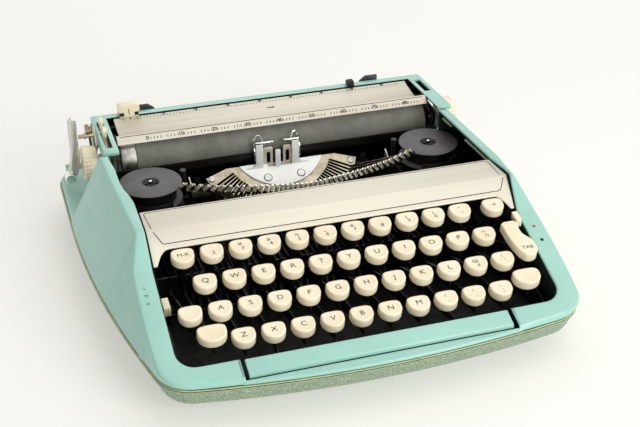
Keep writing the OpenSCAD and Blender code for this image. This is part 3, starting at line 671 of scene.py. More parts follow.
# Space bar: a flush mint bar with rolled edges on two arms
BAR_X, BAR_ARM_X = 86.0, 59.54
BAR_REAR_Y, BAR_FRONT_Y = -133.1, -144.6
rear_z, front_z = top_z(BAR_REAR_Y), top_z(BAR_FRONT_Y)
bar_edge = rounded([(0, BAR_REAR_Y, rear_z - 5), (0, BAR_REAR_Y, rear_z), (0, BAR_FRONT_Y, front_z),
                    (0, -145.3, front_z - 2.6), (0, -144.4, front_z - 3.4), (0, -143.4, front_z - 2.0),
                    (0, -134.5, rear_z - 1.6), (0, -134.5, rear_z - 5)],
                   [0.3, 0.9, 1.4, 0.8, 0.4, 0.3, 0.3, 0.2], 4)
bar_end = [(-BAR_X, 0.35), (-BAR_X + 0.25, 0.1), (-BAR_X + 0.9, 0)]
bar_rings = []
for x, shrink in bar_end + [(-x, shrink) for x, shrink in reversed(bar_end)]:
    bar_rings.append([(x, p.y + (0.0 if p.y > -139 else shrink), p.z - shrink) for p in bar_edge])
space = paint(skin(bar_rings), MINT)
bar_arms = []
for x in (-BAR_ARM_X, BAR_ARM_X):
    side = [(42, 13.8), (-15, 14), (-129.5, 24.5), (-135, front_z - 3.2), (-141, front_z - 3.2), (-134, 22),
            (-13, 10), (42, 7), (50, 7), (50, 13)]
    bar_arms.append(paint(across_x(x - 0.6, x + 0.6, side), LEVER_STEEL))
finish(together(space, *bar_arms), "space_bar_mint", "space_bar", "space_bar", slot="mint")

# Front panel: folded sheet with a notch for the keys' rear row, and grooves along its edges
PANEL_X = 124.7
# The right end comes FLARE further out at the fold, to meet the cheek, and fades out over FLARE_REACH
FLARE, FLARE_REACH = 3.3, 20
FOLD = ((-57.4, 63.6), (-35.1, 77.3), (-11.8, 78.2))
sheet = rounded_flat([*FOLD, (-11.8, 77.0), (-35.4, 76.1), (-57.0, 62.7)], [0, 2.5, 0.6, 0, 1.5, 0], 5)
panel = across_x(-PANEL_X, PANEL_X, sheet)
for point in panel.data.vertices:
    if point.co.x > 0:
        point.co.x += FLARE * MM * max(0.0, 1 - abs(point.co.y / MM + 35) / FLARE_REACH)
half_notch = [(115.2, -47.6), (119.0, -51.5), (122.7, -57.8), (122.7, -70), (140, -70), (140, -80)]
bends = [6, 4, 1.5, 0, 0, 0]
notch = rounded_flat([(-x, y) for x, y in reversed(half_notch)] + half_notch, bends[::-1] + bends, 6)
panel = cut(panel, upright(50, 90, notch))
panel = paint(soften(panel, 0.35, 2, 40), PANEL)


def on_panel(x, y):
    """Point of the panel's upper or lower facet"""
    (y0, z0), (y1, z1), (y2, z2) = FOLD
    z = z0 + (z1 - z0) * (y - y0) / (y1 - y0) if y < y1 else z1 + (z2 - z1) * (y - y1) / (y2 - y1)
    return Vector((x, y, z))


UP_NORMAL = Vector((0, -(FOLD[2][1] - FOLD[1][1]), FOLD[2][0] - FOLD[1][0])).normalized()
LOW_NORMAL = Vector((0, -(FOLD[1][1] - FOLD[0][1]), FOLD[1][0] - FOLD[0][0])).normalized()
upper_lines = rounded([on_panel(-120.9, -33.6), on_panel(-122.8, -13.6), on_panel(122.4, -13.6),
                       on_panel(123.6, -33.8)], [0, 2.5, 2.5, 0], 5, closed=False)
lower_lines = rounded([on_panel(-120.3, -36.4), on_panel(-115.8, -44.6), on_panel(119.6, -44.8),
                       on_panel(124.9, -36.4)], [0, 2.0, 4.0, 0], 6, closed=False)
grooves = [paint(strip(upper_lines, UP_NORMAL, 0.55, 0.04), INK),
           paint(strip(lower_lines, LOW_NORMAL, 0.6, 0.04), INK)]
finish(together(panel, *grooves), "silver_front_panel", "root", "front_panel", slot="silver")

# Keyboard
PITCH = 19.05
KEY_X0 = -105.5
# Four rows from the rear: shift to the right, middle of the caps' tops, and height of the levers' runs
STAGGER = (0, PITCH / 2, PITCH * 3 / 4, PITCH * 5 / 4)
ROW_Y = (-56.6, -77.1, -97.5, -117)
ROW_Z = (68.6, 60.4, 52.3, 43.4)
RUN_Z = (18, 18, 17, 16)
CAP_H = 6.2
SLOPE = math.radians(12)
KEY_UP = (0, math.cos(SLOPE), math.sin(SLOPE))
SHAFT_Y, SHAFT_Z = 46, 10
# Half the width of a lever's hook over the fulcrum shaft, a lever's thickness, and a finger dish's depth
HOOK_R = 2.06
LEVER_T = 1.2
DISH = 0.29


def shield(width, depth, grow, z, count=56):
    """Outline of a key: broad and square at the back, rounder and narrower at the front"""
    found = []
    for k in range(count):
        c, s = math.cos(2 * math.pi * k / count), math.sin(2 * math.pi * k / count)
        square = 0.62 if s > 0 else 0.92
        x = (width / 2 + grow) * math.copysign(abs(c) ** square, c) * (1 + 0.14 * s) * 0.98
        y = (depth / 2 + grow) * math.copysign(abs(s) ** square, s)
        found.append((x, y, z))
    return found


# One moulding: hollow underside, near upright sides, rolled top edge and a shallow finger dish
MOULDING = [(-2.4, -4.4), (-1.7, -6.1), (-0.5, -6.2), (-0.1, -6.0), (0, -5.6), (0, -3.6), (-0.06, -1.5),
            (-0.12, -0.8), (-0.3, -0.35), (-0.6, -0.1), (-1.0, -0.02), (-1.5, -0.02), (-2.3, -0.12),
            (-3.1, -0.23), (-4.2, -DISH)]


def key_cap(width=15.1, depth=13.2):
    return paint(skin([shield(width, depth, grow, z) for grow, z in MOULDING]), IVORY)


def on_key(x, y, z):
    return placed((x, y, z), SLOPE)


def lever(x, y, z, rise, tail=50.0):
    """Sheet lever hooked over the fulcrum shaft, with a low run and a rise to its key"""
    under = z - CAP_H / math.cos(SLOPE) - 0.1
    tilt = 2.5 * math.tan(SLOPE)
    hook = [(SHAFT_Y - HOOK_R * math.cos(a), SHAFT_Z + HOOK_R * math.sin(a))
            for a in (math.pi * k / 8 for k in range(9))]
    side = [(tail, 7), (tail, 13), (42, 13.8), (-15, rise), (y + 2.5, under + tilt), (y - 2.5, under - tilt),
            (y - 2.5, under - 8), (-13, rise - 5.5), (42, 7), (SHAFT_Y - HOOK_R, 7)]
    side += hook + [(SHAFT_Y + HOOK_R, 7)]
    plate = across_x(x - LEVER_T / 2, x + LEVER_T / 2, side)
    return paint(soften(plate, 0.12, 1, 40), LEVER_STEEL)


def legend(text, x, y, z, size=3.9, dx=0.0, dy=0.0, stretch=1.1):
    right, up = Vector((1, 0, 0)), Vector(KEY_UP)
    place = Vector((x, y, z)) + right * dx + up * dy - right.cross(up) * DISH
    return lettering(text, size, place, right, up, stretch=stretch)


plain_cap = key_cap()
LETTERS = ("", "QWERTYUIOP", "ASDFGHJKL", "ZXCVBNM")
SIGNS = {(0, 1): ('"', "2"), (0, 2): ("#", "3"), (0, 3): ("$", "4"), (0, 4): ("%", "5"), (0, 5): ("_", "6"),
         (0, 6): ("&", "7"), (0, 7): ("'", "8"), (0, 8): ("(", "9"), (0, 9): (")", "0"), (0, 10): ("*", "-"),
         (1, 10): ("¼", "½"), (2, 9): ("@", "¢"), (2, 10): ("!", "'"), (3, 7): ("?", ","), (3, 8): ("!", "."),
         (3, 9): (":", ";")}


def key(row, k, *marks):
    x, y, z = KEY_X0 + STAGGER[row] + PITCH * k, ROW_Y[row], ROW_Z[row]
    return together(copy_of(plain_cap, on_key(x, y, z)), lever(x, y, z, RUN_Z[row]),
                    *(legend(text, x, y, z, size, dx, dy) for text, size, dx, dy in marks))


for row, names in enumerate(LETTERS):
    for k, name in enumerate(names):
        node = "key_" + name.lower()
        finish(key(row, k, (name, 3.8, 0, 0.4)), node + "_top", node, node, slot="ivory")
for count, ((row, k), (over, low)) in enumerate(SIGNS.items()):
    piece = key(row, k, (over, 2.9, -0.5, 2.3), (low, 2.9, 0.5, -1.8))
    finish(piece, "figure_key_%d" % (count + 1), "figure_keys", "figure_keys", slot="ivory")
finish(key(0, 0, ("M-R", 3.0, 0, 0.4)), "margin_release_top", "margin_release_key", "margin_release_key",
       slot="ivory")

# Backspace: its lever runs beside the middle of its top
BACKSPACE_X = 109.2
x, y, z = BACKSPACE_X, ROW_Y[0], ROW_Z[0]
backspace = together(copy_of(plain_cap, on_key(x, y, z)), lever(KEY_X0 + 45.5 * PITCH / 4, y, z, RUN_Z[0]),
                     legend("→", x, y, z, 3.2, 0, 0.3))
finish(backspace, "backspace_top", "backspace_key", "backspace_key", slot="ivory")

# Shift keys and lock on one cross rod
SHIFT_Y, SHIFT_Z, SHIFT_TAIL = -114.5, 47.4, 64.0
wide_cap = key_cap(18.6, 14.1)
parts = []
for k in (-1, 10):
    x = KEY_X0 + STAGGER[3] + PITCH * k
    parts.append(copy_of(wide_cap, on_key(x, SHIFT_Y, SHIFT_Z)))
    parts.append(lever(x, SHIFT_Y, SHIFT_Z, RUN_Z[3], SHIFT_TAIL))
x, y, z = KEY_X0 + STAGGER[2] - PITCH, ROW_Y[2], ROW_Z[2]
parts += [copy_of(plain_cap, on_key(x, y, z)), lever(x, y, z, RUN_Z[2], SHIFT_TAIL)]
parts.append(paint(bar(x - 1, KEY_X0 + STAGGER[3] + PITCH * 10 + 1, 62, 8, 1.2), LEVER_STEEL))
finish(together(*parts), "shift_keys_and_lock", "shift_keys", "shift_keys", slot="ivory")

# Tabulator key: a long curved moulding with a foot at its rear end
x, y, z = KEY_X0 + 46 * PITCH / 4, -87, 59.4
WORD_AT = 10.2
outline = rounded_flat([(-5.5, 13), (-5.8, 15.2), (-3, 16.6), (4, 16.6), (6, 14), (4.6, 8), (5, 3), (7.5, -1),
                        (9.3, -4), (9.3, -12), (7, -16), (3, -17.6), (-1, -16.5), (-3.5, -12), (-5.2, -4),
                        (-5.8, 5)], [1.2, 1.2, 1.5, 1.8, 1.5, 6, 6, 5, 5, 5, 4, 5, 4, 8, 14, 20])
tab = paint(soften(upright(-7, 0, outline), 0.9, 4, 50), IVORY)
tab.data.transform(on_key(x, y, z))
word = legend("TAB", x + 2.9, y - WORD_AT * math.cos(SLOPE), z - WORD_AT * math.sin(SLOPE) + 0.31, 2.7,
              stretch=1.15)
finish(together(tab, lever(x, y, z - 0.8, RUN_Z[1]), word), "tab_key_top", "tab_key", "tab_key", slot="ivory")

for cap_model in (plain_cap, wide_cap):
    bpy.data.objects.remove(cap_model)


def selector(side, y, z, x_in, x_out, half):
    """Pivoted arm at a side wall with a ribbed ivory head"""
    inner = 118.5
    x0, x1 = sorted((side * inner, side * (inner + 1.2)))
    arm = [(-63.5, 18), (-61.6, 16.6), (-60, 16), (-58.0, 17), (-56.5, 20), (-57, 23), (y + 2, z - 2),
           (y + 2, z + 3), (y - 3, z + 3), (y - 3, z - 2), (-63.5, 22)]
    arm = paint(soften(across_x(x0, x1, arm), 0.15, 1), LEVER_STEEL)
    x0, x1 = sorted((side * x_in, side * x_out))
    back, front = z + 6.5, z + 5
    crown = [(y - half, z - 1), (y + half, z - 1), (y + half, back)]
    ribs = 4
    for k in range(ribs * 2 - 1, 0, -1):
        part = k / (ribs * 2)
        groove = 0.0 if k % 2 == 0 else 0.9
        crown.append((y - half + 2 * half * part, front + (back - front) * part - groove))
    crown.append((y - half, front))
    head = paint(soften(across_x(x0, x1, crown), 0.25, 2, 25), IVORY)
    return together(head, arm)


finish(selector(-1, -76, 42, 119.5, 124, 5), "touch_selector_head", "touch_selector", "touch_selector",
       slot="ivory")
finish(selector(1, -67, 58, 120, 124, 4), "colour_selector_head", "colour_selector", "colour_selector",
       slot="ivory")

# Marks on the frame: L, M, H beside the touch selector, a red and a black dot beside the colour selector
FRAME_RISE = math.atan2(62.1 - 38.3, 132.3 - 59)
FRAME_UP = (0, math.cos(FRAME_RISE), math.sin(FRAME_RISE))
marks = [lettering(text, 2.1, (-133.6, y, top_z(y)), (1, 0, 0), FRAME_UP)
         for text, y in (("L", -71.2), ("M", -77.2), ("H", -83.1))]
for x, y, paint_of in ((131.9, -73.9, RED_DOT), (132.5, -85.8, INK)):
    dot = turned([(0.3, 0), (1.25, 0), (1.25, 0.05), (1.1, 0.12), (0.3, 0.14)], (0, 0, 0), sides=24)
    dot.data.transform(placed((x, y, top_z(y)), FRAME_RISE))
    marks.append(paint(dot, paint_of))
finish(together(*marks), "frame_marks", "root")

# Type basket
SEG_C = Vector((0, 105, 51.6))
LEAN = math.radians(35)
TILT = placed(SEG_C, LEAN)
WIRE_R = 59.0
# Number of typebars, degrees between two of them, and which of them moves
BARS, STEP, LIVE = 42, 3.0, 21


def on_arc(r, degrees):
    a = math.radians(degrees)
    return (r * math.sin(a), -r * math.cos(a))


def in_basket(piece):
    piece.data.transform(TILT)
    return piece


# Segment: a slotted arc, plain along its inner edge, cut straight behind, with a screw at each end
SEGMENT_R, SEGMENT_IN_R, SLOT_R, SEGMENT_END = 63.4, 29.1, 43, 70
angles = [(i - (BARS - 1) / 2) * STEP for i in range(BARS)]
outline = [on_arc(SEGMENT_R, -SEGMENT_END)]
for a in angles:
    lead = Vector((math.cos(math.radians(a)), math.sin(math.radians(a)))) * 0.75
    far, near = Vector(on_arc(SEGMENT_R, a)), Vector(on_arc(SLOT_R, a))
    outline += [far - lead, near - lead, near + lead, far + lead]
outline.append(on_arc(SEGMENT_R, SEGMENT_END))
outline += [on_arc(SEGMENT_IN_R, a) for a in range(SEGMENT_END, -SEGMENT_END - 1, -4)]
arc = cut(upright(-5.95, 2.95, outline), box(-80, 80, -15.65, 80, -20, 20))
arc = in_basket(soften(arc, 0.22, 1, 40))
pivot = in_basket(wire([(*on_arc(WIRE_R, a), 0) for a in range(-63, 64, 3)], 0.78, 8))
segment = [paint(arc, NICKEL), paint(pivot, TYPE_STEEL)]
for x, s in ((-55.2, -22.8), (54.4, -23.9)):
    screw = turned([(0.3, 2.9), (2.6, 2.9), (2.6, 3.5), (2.1, 3.95), (0.3, 4.1)], (x, s, 0), sides=28)
    segment.append(paint(in_basket(cut(screw, box(x - 4, x + 4, s - 0.35, s + 0.35, 3.6, 6))), BAND))
flat_z = math.cos(LEAN)
# Walls of the slots are painted black: painted shade in the narrow slots
tint(segment[0], BLACK_AND_SHADE, lambda c, n: abs(n.z - flat_z) > 0.5 and 46 < (c - SEG_C).length < 62.5)
for side in (-1, 1):
    ear = ((49, 86), (57, 86), (57, 83), (71, 83), (71, 93), (49, 93))
    block = upright(28, 34, [(side * x, y) for x, y in ear])
    hole = turned([(2.6, 20), (2.6, 60)], (side * 66, 88, 0), sides=32)
    segment.append(paint(soften(cut(block, hole), 0.4, 2, 50), NICKEL))
finish(together(*segment), "segment_casting", "basket", "segment", slot="nickel", smooth=30)

# Typebar: thin shank that turns on the wire, and a type slug with two raised characters
shank = along_y(0.5, -0.5, [(-2.2, -1.7), (12, -1.7), (30, -1.45), (60, -0.95), (62.8, -0.95), (62.8, 1.1),
                            (30, 1.45), (12, 1.7), (-2.2, 1.7)])
shank = paint(soften(shank, 0.12, 1, 40), TYPE_STEEL)
slug = along_y(1.28, -1.28, [(57.6, -0.95), (64.6, -0.95), (64.6, 1.6), (64.2, 3.6), (62.3, 4.0), (61.7, 3.1),
                             (60.7, 3.1), (60.1, 4.0), (58.1, 3.6), (57.6, 1.6)])
slug = paint(soften(slug, 0.3, 2, 40), TYPE_STEEL)
faces = []
for u in (59.1, 63.25):
    face = skin([[(u + a * k, b * k, v) for a, b in ((-0.6, -0.8), (0.6, -0.8), (0.6, 0.8), (-0.6, 0.8))]
                 for k, v in ((1.0, 3.4), (1.0, 4.1), (0.75, 4.45))])
    faces.append(paint(face, CHROME))
typebar = together(shank, slug, *faces)


def bar_place(i):
    turn = Matrix.Rotation(math.radians(angles[i] - 90), 4, "Z") @ Matrix.Translation((WIRE_R * MM, 0, 0))
    rest = 80.5 - 30.5 * (abs(angles[i]) / angles[-1]) ** 2.5
    return TILT @ turn @ Matrix.Rotation(math.radians(-rest), 4, "Y")


resting = [copy_of(typebar, bar_place(i)) for i in range(BARS) if i != LIVE]
finish(together(*resting), "typebars_at_rest", "basket", "typebars", slot="nickel")
finish(copy_of(typebar, bar_place(LIVE)), "typebar_moving", "live_typebar", "typebar_live", slot="nickel")
bpy.data.objects.remove(typebar)

# Segment plate: a bright half disc with a window, and a neck that rises on each side of the window
PLATE_R = 36.5
SHOULDER, SILL, WINDOW = -16.0, -19.6, 11.0
# The neck stands left of the middle. The guide bars' ends at each side of the type guide's gap
NECK_SHIFT = -3.2
GUIDE_BARS = {-1: (-20.6, -6.2), 1: (1.6, 14.0)}
half = math.degrees(math.acos(-SHOULDER / PLATE_R))
sweep = [on_arc(PLATE_R, a) for a in (-half + 2 * half * k / 56 for k in range(57))]
outline = sweep + [(WINDOW, SHOULDER), (WINDOW, SILL), (-WINDOW, SILL), (-WINDOW, SHOULDER)]
disc = upright(3.0, 4.2, rounded_flat(outline, [2.0] + [0] * 55 + [2.0, 0, 2.0, 2.0, 0], 5))
plate = [paint(in_basket(soften(disc, 0.35, 3, 40)), PLATED)]


def slotted_screw(x, s, turn):
    """Round-headed screw on the plate, its slit turned by degrees, with a dark line round its seat"""
    profile = [(0.4, 4.1), (2.75, 4.1), (2.8, 4.35), (2.5, 4.75), (1.7, 4.98), (0.4, 5.0)]
    head = turned(profile, (0, 0, 0), sides=40)
    slit = box(-4, 4, -0.4, 0.4, 4.5, 6)
    slit.data.transform(Matrix.Rotation(math.radians(turn), 4, "Z"))
    head = cut(head, slit)
    head.data.transform(placed((x, s, 0)))
    seat = turned([(2.9, 4.15), (3.3, 4.15), (3.3, 4.24), (2.9, 4.24)], (x, s, 0), sides=40)
    return [paint(in_basket(head), PLATED), paint(in_basket(seat), BLACK_AND_SHADE)]


def neck_side(side):
    """Post with a concave fillet at its foot, a short bar over the type guide's gap, and a wire card ear"""
    post = ((11.3, 43.2), (24.5, 43.2), (24.5, 44.3), (16.9, 44.3), (16.9, 63.2), (11.3, 63.2))
    post = rounded_flat([(side * x + NECK_SHIFT, z) for x, z in post], [0, 0, 0, 6.5, 0.6, 0.6], 8)
    post = paint(soften(along_y(86.05, 87.9, post), 0.3, 2, 40), PLATED)
    cap = across_x(*GUIDE_BARS[side], [(86.0, 63.3), (88.0, 63.3), (88.0, 64.95), (86.0, 64.95)])
    x = side * 17.8 + NECK_SHIFT
    ear = [(x, 87.6, 51.5), (x, 88.6, 57), (x, 90.2, 64.6), (x - side * 2.6, 90.4, 69.4),
           (x - side * 5.0, 89.8, 69.0), (x - side * 6.4, 88.6, 64.6)]
    ear = wire(rounded(ear, 1.2, 4, closed=False), 0.5, 8)
    lug = across_x(*sorted((side * 17 + NECK_SHIFT, side * 18.2 + NECK_SHIFT)),
                   [(86.1, 50), (88, 50), (89.4, 58), (88, 60), (86.1, 54)])
    return [post, paint(soften(cap, 0.45, 3, 40), CHROME), paint(ear, CHROME),
            paint(soften(lug, 0.3, 2), CHROME)]


for side in (-1, 1):
    plate += slotted_screw(side * 13, -28.8, side * 35) + neck_side(side)
x0, x1 = NECK_SHIFT - 2.0, NECK_SHIFT + 2.0
tongue = rounded_flat([(x0, 42.2), (x1, 42.2), (x1, 57.4), (x0, 57.4)], [0, 0, 0.8, 0.8])
plate.append(paint(soften(along_y(85.1, 86.9, tongue), 0.25, 2, 50), PLATED))
finish(together(*plate), "segment_plate_bright", "basket", "segment_plate", slot="chrome", smooth=30)

# Ribbon vibrator: two pale fingers on a cross bar, each with a closed slot
FINGER_Y = (88.35, 89.85)
fingers = []
for side, x0, x1 in ((-1, -6.4, -14.2), (1, 1.6, 8.4)):
    shape = rounded_flat([(x0, 44.5), (x1, 44.5), (x1, 58.9), (x0, 58.9)], [0.4, 0.6, 2.4, 1.2], 5)
    x0 += side * 2.0
    x1 = x0 + side * 2.9
    gap = rounded_flat([(x0, 45.6), (x1, 45.6), (x1, 55.2), (x0, 55.2)], [0.3, 0.3, 1.2, 1.2])
    finger = cut(along_y(*FINGER_Y, shape), along_y(80, 95, gap))
    fingers.append(paint(soften(finger, 0.2, 2, 50), FINGER))
cross = box(-14.2, 8.4, *FINGER_Y, 42.05, 45)
fingers.append(paint(soften(cross, 0.25, 2), FINGER))
finish(together(*fingers), "ribbon_vibrator_fingers", "vibrator", "ribbon_vibrator", slot="chrome")

# Ribbon spools
SPOOL_X, SPOOL_Y, SPOOL_LOW = 106.0, 54.2, 50.2


def round_hub(centre, r, degrees):
    a = math.radians(degrees)
    return centre + Vector((r * math.cos(a), r * math.sin(a), 0))


for side, name in ((-1, "spool_left"), (1, "spool_right")):
    centre = Vector((side * SPOOL_X, SPOOL_Y, SPOOL_LOW))
    profile = [(2.3, 0.02), (21.6, 0.02), (22.2, 0.15), (22.25, 0.5), (22.0, 0.85), (18.3, 1.0), (18.0, 1.2),
               (18.0, 11.8), (18.3, 12.0), (21.9, 12.2), (22.25, 12.5), (22.2, 12.8), (21.7, 12.98),
               (6.6, 12.94), (6.2, 12.7), (2.3, 12.55)]
    spool = paint(turned(profile, centre, sides=96), SPOOL_GREY)
    tint(spool, BLACK_AND_SHADE, lambda c, n, hub=centre: 1.1 < c.z - hub.z < 11.9)
    drum = [spool]
    # Hub: a sunk ring with three drive holes, and a dark lobe between each two
    for k in range(3):
        cut(spool, turned([(1.35, 9), (1.35, 16)], round_hub(centre, 4.1, 90 + 120 * k), sides=20))
        lobe = turned([(0.3, 12.4), (1.1, 12.4), (1.1, 12.8), (0.8, 12.95), (0.3, 12.95)],
                      round_hub(centre, 4.4, 150 + 120 * k), sides=16)
        drum.append(paint(lobe, BLACK_AND_SHADE))
    tint(spool, BLACK_AND_SHADE, lambda c, n, hub=centre: c.z - hub.z < 12.75 and (c - hub).xy.length < 6.3)
    finish(together(*drum), name + "_drum", name, name, slot="grey_metal", smooth=30)

cups = []
for side in (-1, 1):
    x = side * SPOOL_X
    cup = turned([(0.5, 42), (23.2, 42), (23.6, 42.4), (23.6, 55.4), (23.3, 56), (22.9, 56), (22.7, 55.6),
                  (22.7, 43.5), (0.5, 43.5)], (x, SPOOL_Y, 0), sides=96)
    cup = cut(cup, box(*sorted((side * 60, side * 94)), 10, 90, 43.6, 90))
    cups.append(paint(cup, BLACK_AND_SHADE))
    pin = turned([(0.2, 43), (1.95, 43), (1.95, 63.0), (1.6, 63.9), (0.9, 64.15), (0.2, 64.2)],
                 (x, SPOOL_Y, 0), sides=32)
    cups.append(paint(pin, BLACK_AND_SHADE))
    tip = turned([(0.2, 63.9), (1.1, 63.9), (1.05, 64.15), (0.6, 64.2), (0.2, 64.2)], (x, SPOOL_Y, 0),
                 sides=24)
    cups.append(paint(tip, CHROME))
    post = turned([(0.3, 42), (2.95, 42), (2.95, 44), (2.0, 44.6), (2.0, 62.5), (2.3, 63.0), (2.3, 65.0),
                   (2.0, 65.4), (0.3, 65.5)], (side * 81, 61.6, 0), sides=40)
    tint(paint(post, BLACK_AND_SHADE), LEVER_STEEL, lambda c, n: c.z > 65.1 and n.z > 0.5)
    base = soften(box(*sorted((side * 78, side * 90)), 58.6, 64.6, 42, 43.5), 0.3, 2)
    cups += [post, paint(base, BLACK_AND_SHADE)]
    # Reverse trip: a bent strip beside the post
    trip = across_x(*sorted((side * 75.4, side * 76.4)), [(58, 47.8), (66, 47.8), (66, 56), (58, 52)])
    arm = box(*sorted((side * 75.4, side * 79)), 59, 64, 47.8, 49)
    cups += [paint(soften(trip, 0.2, 1), BAND), paint(arm, BAND)]
finish(together(*cups), "spool_cups_black", "root", "spool_cups", slot="black_steel", smooth=30)

# Carriage
ARM_X = 134.0
PLATEN_Y, PLATEN_Z, PLATEN_R = 108.0, 57.0, 15.5
SUPPORT_HINGE = (151.2, 54.6)


def arm_z(y):
    return 79 - 4 * (y - 78) / 72


def on_axle(profile, sides):
    """Profile of (radius, X) pairs turned about the platen's axle"""
    return turned(profile, (0, PLATEN_Y, PLATEN_Z), "X", sides)


def from_axle(c):
    return math.hypot(c.y - PLATEN_Y, c.z - PLATEN_Z)


# Housing: two arms and a rear bar in one mint pressing, hollow underneath
arm_side = rounded_flat([(78, 75.5), (78, 79), (150, 75), (150, 48), (140, 48), (120, 66)],
                        [0.6, 1.5, 2.6, 1, 1, 3], 5)
housing = across_x(-ARM_X, ARM_X, arm_side)
housing = cut(housing, box(-123, 122.5, 0, 142, 0, 100))
housing = soften(housing, 0.8, 3, 50)
inner = [(79.6, 30), (79.6, arm_z(79.6) - 1.6), (148.4, arm_z(148.4) - 1.6), (148.4, 30)]
housing = cut(housing, across_x(-ARM_X + 1.6, ARM_X - 1.6, inner))
slots = [(-131.6, -126.4, 85, 114.6), (-131.6, -126.4, 116.4, 136.4), (125.4, 130.6, 111, 136.4)]
for x0, x1, y0, y1 in slots:
    hole = rounded_flat([(x0, y0), (x1, y0), (x1, y1), (x0, y1)], 0.6, 3)
    housing = cut(housing, upright(60, 90, hole))
for side in (-1, 1):
    housing = cut(housing, bar(*sorted((side * 131, side * 135)), PLATEN_Y, PLATEN_Z, 6))
paint(housing, MINT)
# Underside and inner walls of the housing are painted black: painted shade under the arms
tint(housing, BLACK_AND_SHADE, lambda c, n: c.z < arm_z(c.y) - 0.9 and abs(c.x) < ARM_X - 1 and 79 < c.y < 149)
lugs = []
for side in (-1, 1):
    x0, x1 = sorted((side * 106, side * 109))
    lug = rounded_flat([(148.4, 52.5), (153.3, 52.5), (153.3, 56.7), (148.4, 56.7)], [0, 1.9, 1.9, 0], 5)
    lug = cut(across_x(x0, x1, lug), bar(x0 - 1, x1 + 1, *SUPPORT_HINGE, 1.06, 20))
    lugs.append(paint(lug, MINT))
finish(together(housing, *lugs), "carriage_housing", "carriage", "carriage_cover", slot="mint", smooth=40)

# Frame: end plates, bed, tie bar and deflector in dark steel
frame_steel = from_node("carriage_frame")
paint(frame_steel, LEVER_STEEL)
tint(frame_steel, BLACK_AND_SHADE, lambda c, n: from_axle(c) < 17.6 and abs(c.x) < 123.5)
tint(frame_steel, BLACK_AND_SHADE, lambda c, n: c.y > 126 and abs(c.x) < 123)
tint(frame_steel, MINT, lambda c, n: c.x < -134)
finish(frame_steel, "carriage_frame_steel", "carriage", "carriage_frame", slot="black_steel")

# Fittings at the carriage's ends: bearing blocks and screws inside, the line-space ratchet outside
fittings = []
for side in (-1, 1):
    x0, x1 = (-123.9, -122.0) if side < 0 else (124.4, 126.8)
    block = across_x(x0, x1, [(93.5, 58), (101, 52), (112, 52), (114, 60), (108, 66), (94, 65)])
    fittings.append(paint(soften(block, 0.4, 2), OIL_STAIN_AND_SHADE))
    nut = on_axle([(0.5, x0), (4.6, x0), (4.6, x1 + 0.4), (4.0, x1 + 0.7), (0.5, x1 + 0.7)], 6)
    fittings.append(paint(nut, NICKEL))
    for y, z in ((97, 61.5), (104.5, 55)):
        screw = turned([(0.3, x0 - 0.5), (1.2, x0 - 0.5), (1.5, x0 - 0.2), (1.5, x1 + 0.2), (1.2, x1 + 0.6),
                        (0.3, x1 + 0.6)], (0, y, z), "X", 16)
        fittings.append(paint(screw, BAND))
wheel = turned([(1.0, -141.4), (4.6, -141.4), (5.0, -141.0), (5.0, -139.0), (4.6, -138.6), (3.2, -138.6),
                (3.2, -136.2), (1.0, -136.2)], (0, 122, 76.4), "X", 36)
fittings.append(paint(wheel, BRASS))
plate = [(113, 62), (121, 62), (125.5, 66), (126, 80), (123, 81.5), (118.5, 80), (116, 71), (112, 67)]
fittings.append(paint(soften(across_x(-137.0, -135.6, plate), 0.3, 2), BRASS))
pawl = [(110, 66), (114, 64.5), (119, 70), (120.4, 75), (118.8, 76.2), (115.4, 72.4)]
fittings.append(paint(soften(across_x(-139.8, -138.2, pawl), 0.3, 2), OIL_STAIN_AND_SHADE))
apron = across_x(-133.9, -132.5, [(79.6, 76), (81, 73.6), (88, 68), (104, 66), (112, 67), (112, 76)])
fittings.append(paint(soften(apron, 0.4, 2), MINT))
sleeve = cut(on_axle([(0.5, -134.6), (5.2, -134.6), (5.7, -134.2), (5.7, -127.4), (0.5, -127.4)], 40),
             bar(-136, -126, PLATEN_Y, PLATEN_Z, 3.2, 32))
fittings.append(paint(sleeve, MINT))
pin_line = turned([(0.3, -147.6), (1.3, -147.6), (1.5, -147.2), (1.5, -143.4), (2.3, -143.2), (2.3, -141.8),
                   (1.5, -141.6), (1.5, -136), (0.3, -136)], (0, 118, 74.4), "X", 24)
fittings.append(paint(pin_line, NICKEL))
finish(together(*fittings), "carriage_end_fittings", "carriage")

# Paper table: rear strip with a scale, hollow middle and rolled front lip
table = rounded_flat([(111.6, 72.45), (117, 71.4), (130.7, 72.8), (138, 74.2), (138, 75.7), (130.7, 74.3),
                      (117, 72.9), (111.6, 73.0)], [0.2, 2, 3, 0.3, 0.6, 3, 4, 0.2])
table = across_x(-118, 118, table)
dash = box(-0.6, 5.4, 124.9, 127.3, 70, 80)
table = [paint(soften(cut(table, dash), 0.25, 2, 50), SCALE_METAL)]
TABLE_UP = Vector((0, 7.3, 1.4)).normalized()
STEP_X = 2.54


def scale_marks(first, count, origin, up, gaps, tall, tick, number_up):
    """Ticks at ten to the inch with a number at every tenth, number_up above the ticks' feet. gaps leaves out
    every fifth tick"""
    found = []
    right, up = Vector((1, 0, 0)), Vector(up)
    normal = right.cross(up)
    for k in range(count):
        base = Vector(origin) + right * (first + STEP_X * k)
        if not (gaps and k % 5 == 0):
            long = tick * (1.5 if k % 5 == 0 else 1.0)
            foot = [base - right * 0.3, base + right * 0.3]
            ring = foot + [p + up * long for p in reversed(foot)]
            mark = skin([[p - normal * 0.05 for p in ring], [p + normal * 0.03 for p in ring]])
            found.append(paint(mark, INK))
        if k % 10 == 0:
            found.append(lettering(str(k), tall, base + up * number_up, right, up, thick=0.03, bold=0.12))
    return found


